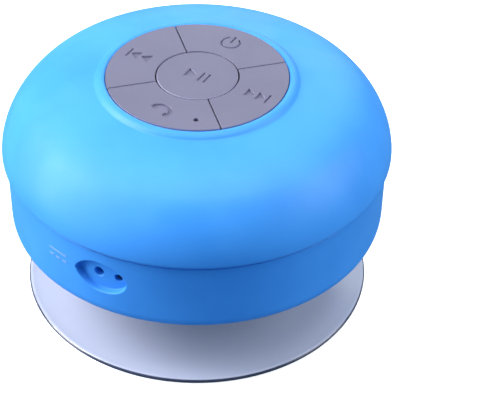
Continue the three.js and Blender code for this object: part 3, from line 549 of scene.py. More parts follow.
class Effects:
    """Builds each shared effect once and places it in materials."""

    def __init__(self) -> None:
        """Builds the groups."""
        self.groups = {
            Effect.GRAIN: self.grain(),
            Effect.SMUDGE: self.smudges(),
            Effect.WEAR: self.wear(),
            Effect.DUST: self.dust(),
        }

    @staticmethod
    def started(effect: Effect, inputs: dict[str, float], outputs: Sequence[str]
                ) -> tuple[Graph, bpy.types.Node, bpy.types.Node]:
        """Starts a group.

        Args:
            effect: Which effect it is.
            inputs: Its number inputs, with the value each starts at.
            outputs: Its number outputs.

        Returns:
            The graph, its input node and its output node.
        """
        tree = bpy.data.node_groups.new(effect.value, "ShaderNodeTree")
        face = tree.interface
        face.new_socket(name="Vector", in_out="INPUT", socket_type="NodeSocketVector")
        for name, value in inputs.items():
            socket = face.new_socket(name=name, in_out="INPUT", socket_type="NodeSocketFloat")
            socket.default_value = value
        for name in outputs:
            face.new_socket(name=name, in_out="OUTPUT", socket_type="NodeSocketFloat")
        graph = Graph(tree)
        return graph, graph.add("NodeGroupInput"), graph.add("NodeGroupOutput")

    @staticmethod
    def masked(graph: Graph, given: bpy.types.Node, out: bpy.types.Node,
               share: bpy.types.NodeSocket) -> bpy.types.NodeTree:
        """Ends a group whose one output is a mask.

        Args:
            graph: The group's graph.
            given: Its input node, with an Amount.
            out: Its output node.
            share: The mask at full amount.

        Returns:
            The group.
        """
        graph.tree.links.new(graph.maths(Sum.MULTIPLY, share, given.outputs["Amount"]),
                             out.inputs["Mask"])
        return graph.tree

    def grain(self) -> bpy.types.NodeTree:
        """The fine pebbled grain that a mould leaves, with a broad slow swell under it.

        Returns:
            The group.
        """
        graph, given, out = self.started(
            Effect.GRAIN, {"Size": 900.0, "Swell": 0.3}, ("Height", "Mottle"))
        place = given.outputs["Vector"]
        fine = graph.noise(place, given.outputs["Size"], detail=3.0, roughness=0.6)
        pebble = graph.add("ShaderNodeTexVoronoi", {
            "Vector": place, "Scale": given.outputs["Size"], "Randomness": 1.0},
            feature="SMOOTH_F1")
        broad = graph.noise(place, 60.0)
        close = graph.maths(Sum.ADD, fine, pebble.outputs["Distance"])
        swell = graph.maths(Sum.MULTIPLY, broad, given.outputs["Swell"])
        graph.tree.links.new(graph.maths(Sum.ADD, close, swell), out.inputs["Height"])
        graph.tree.links.new(broad, out.inputs["Mottle"])
        return graph.tree

    def smudges(self) -> bpy.types.NodeTree:
        """Soft patches where fingers have polished or dulled a surface.

        Returns:
            The group.
        """
        graph, given, out = self.started(Effect.SMUDGE, {"Amount": 0.5}, ("Mask",))
        patch = graph.noise(given.outputs["Vector"], 34.0, 4.0, 0.55, 0.8)
        return self.masked(graph, given, out, graph.stepped(patch, 0.42, 0.68))

    def wear(self) -> bpy.types.NodeTree:
        """Edges rubbed lighter, broken up so that the line isn't even.

        Returns:
            The group.
        """
        graph, given, out = self.started(
            Effect.WEAR, {"Edge": 0.5, "Amount": 0.5}, ("Mask",))
        edge = graph.stepped(given.outputs["Edge"], 0.53, 0.62)
        broken = graph.stepped(graph.noise(given.outputs["Vector"], 320.0, 3.0), 0.35, 0.65)
        return self.masked(graph, given, out, graph.maths(Sum.MULTIPLY, edge, broken))

    def dust(self) -> bpy.types.NodeTree:
        """Fine specks of dust and dried water.

        Returns:
            The group.
        """
        graph, given, out = self.started(Effect.DUST, {"Amount": 0.3}, ("Mask",))
        speck = graph.add("ShaderNodeTexVoronoi", {
            "Vector": given.outputs["Vector"], "Scale": 520.0, "Randomness": 1.0})
        near = graph.stepped(speck.outputs["Distance"], 0.16, 0.05)
        patch = graph.stepped(graph.noise(given.outputs["Vector"], 45.0, 3.0), 0.55, 0.75)
        return self.masked(graph, given, out, graph.maths(Sum.MULTIPLY, near, patch))

    def placed(self, graph: Graph, effect: Effect, inputs: dict[str, Any]) -> bpy.types.Node:
        """Places an effect in a material with its own values.

        Args:
            graph: The material's graph.
            effect: Which effect it is.
            inputs: Value or feeding socket for each of the group's inputs.

        Returns:
            The group's node.
        """
        node = graph.add("ShaderNodeGroup", node_tree=self.groups[effect])
        graph.fill(node, inputs)
        return node


class Pattern(Enum):
    """What a finish's surface is made of, beyond its grain; two of them paint light instead: a
    painted shade line round a rim and a painted highlight on key edges.
    """

    MOULDED = "moulded"
    BRUSHED = "brushed"
    WOVEN = "woven"
    CELLS = "cells"
    WOUND = "wound"
    FIBRES = "fibres"
    TRACKS = "tracks"
    # painted shade: a dark line round the foot of the cup's rim
    PAINTED_RIM_SHADE = "radial"
    # painted highlight: lighter rounded upper edges on the keys
    PAINTED_KEY_HIGHLIGHT = "rimmed"


class Slot(Enum):
    """The finishes, by the material slots of the CAD parts; the printed mark has no slot."""

    BLUE_SHELL = "blue_shell"
    KEYPAD_SILICONE = "keypad_silicone"
    CLEAR_CUP = "clear_cup"
    GREY_PLASTIC = "grey_plastic"
    BLACK_PLASTIC = "black_plastic"
    BLACK_RUBBER = "black_rubber"
    FOAM = "foam"
    MESH_CLOTH = "mesh_cloth"
    STEEL = "steel"
    DARK_STEEL = "dark_steel"
    FERRITE = "ferrite"
    COPPER_WIRE = "copper_wire"
    CONE_PAPER = "cone_paper"
    CIRCUIT_BOARD = "circuit_board"
    BATTERY_WRAP = "battery_wrap"
    LED_RESIN = "led_resin"
    WIRE_RED = "wire_red"
    PRINTED_MARK = "printed_mark"


@dataclass(frozen=True)
class Finish:
    """One material: colours as they are seen, lengths in millimetres."""

    slot: Slot
    tone: tuple[int, int, int]
    shade: tuple[int, int, int]
    roughness: float
    grain: float = 0.6
    depth: float = 0.02
    spread: float = 0.08
    pattern: Pattern = Pattern.MOULDED
    metallic: float = 0.0
    coat: float = 0.0
    coat_roughness: float = 0.1
    sheen: float = 0.0
    transmission: float = 0.0
    subsurface: float = 0.0
    refraction: float = 1.5
    specular: float = 0.5
    wear: float = 0.0
    dust: float = 0.15

    def material(self, effects: Effects) -> bpy.types.Material:
        """Builds the material.

        Args:
            effects: The shared effects.

        Returns:
            The material, named after its slot.
        """
        made = bpy.data.materials.new(self.slot.value)
        made.use_nodes = True
        made.node_tree.nodes.clear()
        graph = Graph(made.node_tree)
        place = graph.add("ShaderNodeTexCoord").outputs["Object"]
        grain = effects.placed(graph, Effect.GRAIN, {
            "Vector": place, "Size": 1 / (self.grain * MM), "Swell": 0.35})
        smudge = effects.placed(graph, Effect.SMUDGE, {"Vector": place, "Amount": 1.0})
        height, mask = self.relief(graph, place, grain)
        colour = graph.mixed(mask, linear(*self.tone), linear(*self.shade))
        if self.wear > 0:
            edge = graph.add("ShaderNodeNewGeometry").outputs["Pointiness"]
            rubbed = effects.placed(graph, Effect.WEAR, {
                "Vector": place, "Edge": edge, "Amount": self.wear})
            pale = tuple(min(255, round(c * RUBBED_GAIN + RUBBED_LIFT)) for c in self.tone)
            colour = graph.mixed(rubbed.outputs["Mask"], colour, linear(*pale))
        specks = effects.placed(graph, Effect.DUST, {"Vector": place, "Amount": self.dust})
        colour = graph.mixed(specks.outputs["Mask"], colour, linear(*DUST_COLOUR))
        rough = graph.stepped(smudge.outputs["Mask"], 0.0, 1.0,
                              self.roughness - self.spread, self.roughness + self.spread)
        bump = graph.add("ShaderNodeBump", {
            "Strength": 1.0, "Distance": self.depth * MM, "Height": height})
        shader = graph.add("ShaderNodeBsdfPrincipled", {
            "Base Color": colour, "Roughness": rough, "Normal": bump.outputs[0]})
        fixed = {
            "Metallic": self.metallic, "IOR": self.refraction, "Coat Weight": self.coat,
            "Specular IOR Level": self.specular,
            "Coat Roughness": self.coat_roughness, "Sheen Weight": self.sheen,
            "Transmission Weight": self.transmission, "Subsurface Weight": self.subsurface,
        }
        for name, value in fixed.items():
            shader.inputs[name].default_value = value
        if self.subsurface > 0:
            shader.inputs["Subsurface Radius"].default_value = (1.0, 0.9, 1.0)
            shader.inputs["Subsurface Scale"].default_value = SOFT_DEPTH * MM
        out = graph.add("ShaderNodeOutputMaterial")
        graph.tree.links.new(shader.outputs[0], out.inputs["Surface"])
        return made

    def relief(self, graph: Graph, place: bpy.types.NodeSocket, grain: bpy.types.Node
               ) -> tuple[bpy.types.NodeSocket, bpy.types.NodeSocket]:
        """The finish's own pattern.

        Args:
            graph: The material's graph.
            place: The object coordinates.
            grain: The placed grain effect.

        Returns:
            The height that feeds the bump, and the mask between tone and shade.
        """
        scale = 1 / (self.grain * MM)
        if self.pattern is Pattern.BRUSHED:
            long = graph.add("ShaderNodeMapping", {"Vector": place, "Scale": (1.0, 14.0, 14.0)})
            lines = graph.noise(long.outputs[0], scale / 14.0, detail=4.0)
            return lines, lines
        if self.pattern is Pattern.WOVEN:
            threads = [graph.add("ShaderNodeTexWave", {
                "Vector": place, "Scale": scale / math.tau, "Distortion": 0.4},
                bands_direction=way).outputs["Fac"] for way in ("X", "Y")]
            weave = graph.maths(Sum.MAXIMUM, *threads)
            return weave, graph.maths(Sum.SUBTRACT, 1.0, weave)
        if self.pattern is Pattern.CELLS:
            cells = graph.add("ShaderNodeTexVoronoi", {"Vector": place, "Scale": scale})
            return cells.outputs["Distance"], graph.stepped(cells.outputs["Distance"], 0.0, 0.6)
        if self.pattern is Pattern.WOUND:
            turns = graph.add("ShaderNodeTexWave", {
                "Vector": place, "Scale": scale / math.tau, "Distortion": 0.1},
                bands_direction="Z", wave_profile="SIN")
            return turns.outputs["Fac"], graph.maths(Sum.SUBTRACT, 1.0, turns.outputs["Fac"])
        if self.pattern is Pattern.FIBRES:
            hair = graph.noise(place, scale, detail=6.0, distortion=1.6)
            return hair, graph.stepped(hair, 0.35, 0.7)
        if self.pattern is Pattern.TRACKS:
            tracks = graph.add("ShaderNodeTexBrick", {
                "Vector": place, "Scale": scale, "Mortar Size": 0.09, "Brick Width": 2.6,
                "Row Height": 0.55}, offset=0.5)
            return tracks.outputs["Fac"], tracks.outputs["Fac"]
        # Painted shade: the dark second colour is laid in a thin line round the outer foot of the
        # rim, where the cup meets the floor.
        if self.pattern is Pattern.PAINTED_RIM_SHADE:
            flat = graph.add("ShaderNodeVectorMath", {0: place, 1: (1.0, 1.0, 0.0)},
                             operation="MULTIPLY")
            reach = graph.add("ShaderNodeVectorMath", {0: flat.outputs[0]}, operation="LENGTH")
            rim = graph.stepped(reach.outputs["Value"], *(r * MM for r in PAINTED_SHADE_REACH))
            split = graph.add("ShaderNodeSeparateXYZ", {0: place})
            foot = graph.stepped(split.outputs["Z"], *(h * MM for h in PAINTED_SHADE_HEIGHT))
            return grain.outputs["Height"], graph.maths(Sum.MULTIPLY, rim, foot)
        # Painted highlight: the lighter second colour is laid all round the rounded upper edge of
        # every key, with a faint mottle mixed in.
        if self.pattern is Pattern.PAINTED_KEY_HIGHLIGHT:
            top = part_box("play_key")[1].z
            level = graph.add("ShaderNodeSeparateXYZ", {0: place}).outputs["Z"]
            under = graph.stepped(level, *(top - d * MM for d in KEY_HIGHLIGHT_START))
            above = graph.stepped(level, *(top - d * MM for d in KEY_HIGHLIGHT_END))
            edge = graph.maths(Sum.MULTIPLY, under, above)
            mottle = graph.stepped(grain.outputs["Mottle"], 0.3, 0.75, 0.0, 0.08)
            return grain.outputs["Height"], graph.maths(Sum.MAXIMUM, edge, mottle)
        return grain.outputs["Height"], graph.stepped(grain.outputs["Mottle"], 0.3, 0.75)


FINISHES = (
    Finish(Slot.BLUE_SHELL, (68, 154, 239), (60, 146, 233), 0.5, grain=0.35, depth=0.012,
           specular=0.32, sheen=0.04, subsurface=0.04, dust=0.05),
    # The keypad's second colour is lighter: a painted highlight on the keys' rounded edges.
    Finish(Slot.KEYPAD_SILICONE, (99, 96, 119), (152, 148, 178), 0.55, grain=0.25, depth=0.014,
           pattern=Pattern.PAINTED_KEY_HIGHLIGHT, sheen=0.12),
    # The cup's second colour is a painted shade: a thin dark line round the rim's foot.
    Finish(Slot.CLEAR_CUP, (197, 202, 228), (64, 64, 88), 0.24, grain=1.5, depth=0.008,
           pattern=Pattern.PAINTED_RIM_SHADE, coat=0.6, coat_roughness=0.12, transmission=0.04,
           refraction=1.45, subsurface=0.25, spread=0.03, dust=0.05),
    Finish(Slot.GREY_PLASTIC, (85, 88, 95), (76, 79, 86), 0.5, grain=0.4, wear=0.25),
    Finish(Slot.BLACK_PLASTIC, (30, 31, 35), (22, 23, 26), 0.42, grain=0.4, wear=0.25),
    Finish(Slot.BLACK_RUBBER, (34, 35, 38), (26, 27, 30), 0.8, grain=0.3, sheen=0.15),
    Finish(Slot.FOAM, (52, 54, 60), (30, 31, 35), 0.95, grain=0.5, depth=0.12,
           pattern=Pattern.CELLS, sheen=0.3),
    Finish(Slot.MESH_CLOTH, (58, 60, 66), (20, 21, 24), 0.85, grain=0.35, depth=0.08,
           pattern=Pattern.WOVEN, sheen=0.3),
    Finish(Slot.STEEL, (196, 198, 203), (160, 163, 170), 0.3, grain=0.2, depth=0.006,
           pattern=Pattern.BRUSHED, metallic=1.0),
    Finish(Slot.DARK_STEEL, (118, 122, 130), (88, 92, 100), 0.36, grain=0.2, depth=0.006,
           pattern=Pattern.BRUSHED, metallic=1.0),
    Finish(Slot.FERRITE, (60, 62, 68), (42, 44, 49), 0.62, grain=0.3, depth=0.03, metallic=0.2,
           wear=0.4),
    Finish(Slot.COPPER_WIRE, (200, 122, 66), (120, 62, 30), 0.32, grain=0.18, depth=0.05,
           pattern=Pattern.WOUND, metallic=1.0),
    Finish(Slot.CONE_PAPER, (54, 55, 60), (34, 35, 39), 0.88, grain=0.5, depth=0.05,
           pattern=Pattern.FIBRES),
    Finish(Slot.CIRCUIT_BOARD, (24, 92, 56), (58, 140, 84), 0.36, grain=1.8, depth=0.03,
           pattern=Pattern.TRACKS, coat=0.4),
    Finish(Slot.BATTERY_WRAP, (168, 176, 188), (148, 156, 170), 0.32, grain=1.6, depth=0.06,
           metallic=0.3, coat=0.3),
    # Dark blue with little gloss: painted shade for the deep hole the lens sits in.
    Finish(Slot.LED_RESIN, (20, 52, 96), (16, 44, 84), 0.5, grain=1.2, depth=0.01,
           specular=0.2, dust=0.0),
    Finish(Slot.WIRE_RED, (176, 38, 38), (150, 28, 30), 0.45, grain=0.4, depth=0.015),
    Finish(Slot.PRINTED_MARK, (128, 168, 232), (116, 158, 226), 0.6, grain=0.2, depth=0.004),
)


# Placing pieces


class Workshop:
    """Makes pieces out of shapes and dresses them."""

    def __init__(self) -> None:
        """Builds every material."""
        self.effects = Effects()
        self.materials = {finish.slot: finish.material(self.effects) for finish in FINISHES}

    def piece(self, shape: Shape, name: str, finish: Slot, stands_for: Sequence[str] = (),
              body: str | None = "housing", sharp: float = 26.0) -> bpy.types.Object:
        """Makes a piece of a shape.

        Args:
            shape: The finished shape, in millimetres.
            name: The piece's name.
            finish: Its finish.
            stands_for: The CAD nodes it replaces.
            body: The body it rides on; none leaves it on no body.
            sharp: Degrees past which an edge is shown sharp.

        Returns:
            The piece.
        """
        made = shape.placed(name)
        made.data.shade_smooth()
        made.data.set_sharp_from_angle(angle=math.radians(sharp))
        made.data.materials.append(self.materials[finish])
        weighted = made.modifiers.new("even_shading", "WEIGHTED_NORMAL")
        weighted.keep_sharp = True
        if stands_for:
            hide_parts(*stands_for)
        if body:
            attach(made, body)
        log.info("%s: %d faces", name, len(made.data.polygons))
        return made


# Shells


@dataclass
class UpperShell:
    """The dome: a raised lip round the keypad, a low crown, a round shoulder and a full belt."""

    opening: float = 19.9
    lip_width: float = 2.3
    lip_drop: float = 1.05
    shoulder_inset: float = 7.0
    shoulder_drop: float = 5.0
    shoulder_slope: float = 34.0
    crown_slope: float = 8.0
    belt_rise: float = 1.0
    seam_inset: float = 0.65
    wall: float = 2.0
    roof_drop: float = 3.4
    roof_reach: float = 2.5
    lip_crest: float = 0.22
    lip_push: float = 0.62
    side_pull: float = 4.0
    side_push: float = 0.39
    belt_undercut: float = 0.25

    def outline(self) -> list[Corner]:
        """The shell's section, from the keypad opening out, down the dome and back inside.

        Returns:
            The corners, as radius and height.
        """
        low, high = span("upper_shell")
        radius, top, foot = high.x, high.z, low.z
        lip_foot = (self.opening + self.lip_width, top - self.lip_drop)
        shoulder = (radius - self.shoulder_inset, top - self.shoulder_drop)
        slope = math.radians(self.shoulder_slope)
        reach = (shoulder[0] - lip_foot[0]) / 3
        fall = math.tan(math.radians(self.crown_slope)) * reach
        belt = foot + self.belt_rise - self.belt_undercut
        inner = [
            (radius - self.seam_inset - self.wall, foot),
            (radius - self.wall, belt + 0.6),
            (shoulder[0] - self.wall * math.sin(slope), shoulder[1] - self.wall * math.cos(slope)),
            (self.opening + self.roof_reach, lip_foot[1] - self.wall),
        ]
        lip = sweep((self.opening, top - 0.5), (self.opening + 0.05, top + 0.1),
                    (self.opening + self.lip_push * self.lip_width, top + self.lip_crest),
                    lip_foot, 12)
        crown = sweep(lip_foot, (lip_foot[0] + reach, lip_foot[1] - fall),
                      (shoulder[0] - reach * math.cos(slope),
                       shoulder[1] + reach * math.sin(slope)), shoulder, 12)
        side = sweep(shoulder, (shoulder[0] + self.side_pull * math.cos(slope),
                                shoulder[1] - self.side_pull * math.sin(slope)),
                     (radius, belt + self.side_push * (shoulder[1] - belt)),
                     (radius, belt), 20)
        ceiling = sweep(inner[1], (radius - self.wall, belt + 5.0),
                        (inner[2][0] + 3.4, inner[2][1] - 2.3), inner[2], 10)
        soft_foot = Corner(*lip_foot, 0.35)
        return [
            *lip[:-1], soft_foot, *crown[1:], *side[1:-1], Corner(radius, belt, 0.3),
            Corner(radius - self.seam_inset, foot, 0.15), Corner(*inner[0]), *ceiling,
            Corner(*inner[3]), Corner(self.opening + self.roof_reach, top - self.roof_drop),
            Corner(self.opening, top - self.roof_drop),
        ]

    def build(self, shop: Workshop) -> None:
        """Builds and dresses the dome."""
        shop.piece(Shape.turned(self.outline()), "dome_shell", Slot.BLUE_SHELL, ["upper_shell"])


@dataclass
class ChargingPort:
    """The almond-shaped recess in the band, the two holes in its floor and what they show."""

    width: float = 12.3
    height: float = 7.8
    offset: float = 1.0
    depth: float = 1.55
    point_pull: float = 0.22
    round_pull: float = 0.5
    waist: float = 0.62
    lip: float = 0.55
    margin: float = 1.6
    jack_hole: float = 1.1
    lamp_hole: float = 0.95
    lens: float = 0.9
    spacing: float = 4.6
    slab: tuple[float, float] = (8.0, 5.2)
    overlap: float = 0.02
    floor_round: float = 0.22
    flare: float = 0.25
    hole_inside: float = 30.0
    hole_mouth: float = 40.4
    hole_outside: float = 41.0
    pad_front: float = 40.3
    pad_back: float = 37.8
    pin_radius: float = 0.35
    pin_length: float = 5.5
    pin_root: float = 2.7
    socket_back: float = 2.4
    lens_length: float = 2.2

    def middle(self) -> float:
        """Height of the port's centre."""
        low, high = span("charge_jack")
        return (low.z + high.z) / 2

    def almond(self) -> list[Corner]:
        """The recess's outline about its own centre: a tight point at -X, a rounder end at +X.

        Returns:
            The corners, in order.
        """
        a, b = self.width / 2, self.height / 2
        lower = sweep((-a, 0), (-a, -self.point_pull * b), (-self.waist * a, -b), (0, -b), 12)
        right = sweep((0, -b), (self.waist * a, -b), (a, -self.round_pull * b), (a, 0), 12)
        back = [Corner(c.x, -c.y) for c in reversed([*lower[1:], *right[1:-1]])]
        return [*lower, *right[1:], *back]

    def recess(self, radius: float, growth: Callable[[float], float]) -> Shape:
        """What is cut from the band: the recess with its mouth flared out to the surface.

        Args:
            radius: The band's radius at the port's height.
            growth: How much farther out the band is at each height.

        Returns:
            The cutter.
        """
        floor = radius - self.depth
        mouth = self.depth + self.overlap
        wide, tall = self.slab
        tool = Shape.prism(self.almond(), 0.0, mouth)
        slab = Shape.box((-wide, -tall, mouth), (wide, tall, self.depth + 2.0))
        tool.combined(slab, join=Join.UNITE)
        joint = at_height(mouth)
        tool.rounded(self.lip, lambda e: joint(e) and not e.is_convex, segments=6)
        tool.rounded(self.floor_round, at_height(0.0), segments=3)
        tool.rotated(90, Axis.X).moved((self.offset, -floor, self.middle())).sliced(0.5)
        return tool.wrapped(radius, growth)

    def holes(self) -> list[Shape]:
        """The jack's hole and the lamp's hole, each with a softened mouth.

        Returns:
            The two cutters.
        """
        made = []
        inside, mouth, outside = self.hole_inside, self.hole_mouth, self.hole_outside
        for radius, across in ((self.jack_hole, 0.0), (self.lamp_hole, self.spacing)):
            flare = radius + self.flare
            section = [Corner(0, inside), Corner(radius, inside),
                       Corner(radius, mouth - self.flare), Corner(flare, mouth + self.overlap),
                       Corner(flare, outside), Corner(0, outside)]
            hole = Shape.turned(section, SMALL_STEPS).rotated(90, Axis.X)
            made.append(hole.moved((across, 0, self.middle())))
        return made

    def pad(self) -> Shape:
        """The thickened wall behind the recess.

        Returns:
            The block that is joined on inside the band.
        """
        wide, tall = self.width / 2 + self.margin, self.height / 2 + self.margin
        middle = self.middle()
        return Shape.box((self.offset - wide, -self.pad_front, middle - tall),
                         (self.offset + wide, -self.pad_back, middle + tall), 0.4)

    def build(self, shop: Workshop) -> None:
        """Builds the jack's socket and the lamp's lens behind the holes.

        Args:
            shop: Makes and dresses the pieces.
        """
        low, high = span("charge_jack")
        body = Shape.box(low, high, 0.35)
        bore = Shape.rod(self.jack_hole, -high.y, -low.y + 1.0).rotated(90, Axis.X)
        pin = Shape.turned([
            Corner(0, 0), Corner(self.pin_radius, 0),
            Corner(self.pin_radius, self.pin_length - 0.3, 0.12), Corner(0, self.pin_length),
        ], SMALL_STEPS)
        body.combined(bore.moved((0, -self.socket_back, self.middle())))
        shop.piece(body, "jack_socket", Slot.BLACK_PLASTIC, ["charge_jack"])
        pin.rotated(90, Axis.X).moved((0, high.y - self.pin_root, self.middle()))
        shop.piece(pin, "jack_pin", Slot.STEEL)
        low, high = span("charge_led")
        lens = Shape.turned([
            Corner(0, 0), Corner(self.lens, 0), Corner(self.lens, self.lens_length - 0.3, 0.4),
            Corner(0, self.lens_length),
        ], SMALL_STEPS)
        lens.rotated(90, Axis.X).moved((self.spacing, low.y + self.lens_length, self.middle()))
        base = Shape.box((low.x, low.y + self.lens_length - 0.1, low.z), high, 0.15)
        base.combined(lens, join=Join.UNITE)
        shop.piece(base, "lamp_lens", Slot.LED_RESIN, ["charge_led"])


@dataclass
class LowerShell:
    """The band below the seam, with a rounded foot, a tongue inside the dome and a ledge."""

    wall: float = 2.0
    taper: float = 0.2
    foot_inset: float = 1.3
    foot_height: float = 2.6
    tongue: float = 1.2
    ledge: float = 1.8
    seal_inset: float = 0.55
    seal_width: float = 1.35
    seal_play: float = 0.1
    tongue_inset: float = 1.65
    tongue_root: float = 1.9
    ledge_drop: float = 1.5
    plate_play: float = 0.2
    port: ChargingPort = field(default_factory=ChargingPort)

    def build(self, shop: Workshop) -> None:
        """Builds and dresses the band, with the charging port cut into it, and the seal.

        Args:
            shop: Makes and dresses the pieces.
        """
        low, high = span("lower_shell")
        radius = high.x
        foot_z, tongue_z = low.z, high.z
        seam_z = span("seam_gasket")[0].z - self.seal_play
        plate = span("base_plate")[1].x
        tongue_outer = span("seam_gasket")[1].x - self.tongue_inset
        outer = radius - self.taper
        inner = outer - self.wall
        ledge_z = span("base_plate")[1].z - self.ledge_drop
        foot = sweep((outer - self.foot_inset, foot_z),
                     (outer - 0.4 * self.foot_inset, foot_z),
                     (outer, foot_z + 0.4 * self.foot_height),
                     (outer, foot_z + self.foot_height), 12)
        outline = [
            Corner(plate + self.plate_play, foot_z, 0.2), *foot, Corner(radius, seam_z, 0.25),
            Corner(tongue_outer, seam_z), Corner(tongue_outer, tongue_z, 0.2),
            Corner(tongue_outer - self.tongue, tongue_z, 0.2),
            Corner(tongue_outer - self.tongue, seam_z - self.tongue_root),
            Corner(inner, seam_z - self.tongue_root - self.tongue),
            Corner(inner, ledge_z + self.ledge, 0.5),
            Corner(plate - self.ledge, ledge_z + self.ledge, 0.3),
            Corner(plate - self.ledge, ledge_z), Corner(plate + self.plate_play, ledge_z),
        ]
        rise = self.taper / (seam_z - foot_z - self.foot_height)
        start = foot_z + self.foot_height
        middle = self.port.middle()
        at_port = outer + (middle - start) * rise
        recess = self.port.recess(at_port, lambda z: (z - middle) * rise)
        band = Shape.turned(outline)
        band.combined(self.port.pad(), join=Join.UNITE)
        band.combined(recess, *self.port.holes())
        shop.piece(band, "band_shell", Slot.BLUE_SHELL, ["lower_shell"], sharp=13.0)
        low, high = span("seam_gasket")
        shop.piece(Shape.ring(high.x - self.seal_width, high.x - self.seal_inset, low.z, high.z,
                              0.08), "seam_seal", Slot.BLACK_RUBBER, ["seam_gasket"])
        self.port.build(shop)


@dataclass
class PortMark:
    """The small printed sign beside the port: a line over three dashes, for direct current."""

    turn: float = 256.0
    half_width: float = 2.6
    line: float = 0.45
    rise: float = 0.85
    proud: float = 0.015
    sunk: float = 0.25
    radius: float = 41.98
    lift: float = 0.6

    def build(self, shop: Workshop) -> None:
        """Builds and dresses the strokes as one thin print on the band.

        Args:
            shop: Makes and dresses the pieces.
        """
        radius = self.radius
        low, high = span("charge_jack")
        height = (low.z + high.z) / 2 + self.lift
        strokes = [(-1.0, 1.0, self.rise), (-1.0, -0.5, -self.rise), (-0.25, 0.25, -self.rise),
                   (0.5, 1.0, -self.rise)]
        made = None
        for start, end, level in strokes:
            at = height + level
            box = Shape.box(
                (start * self.half_width, -radius - self.proud, at - self.line / 2),
                (end * self.half_width, -radius + self.sunk, at + self.line / 2))
            box.sliced(0.5).wrapped(radius, lambda z: 0.0)
            made = box if made is None else made.combined(box, join=Join.UNITE)
        made.rotated(self.turn - 270.0)
        shop.piece(made, "current_mark", Slot.PRINTED_MARK)


# Keypad


class Sign(Enum):
    """The sign sunk into each key."""

    PLAY = "play"
    POWER = "power"
    PREVIOUS = "previous"
    NEXT = "next"
    PHONE = "phone"


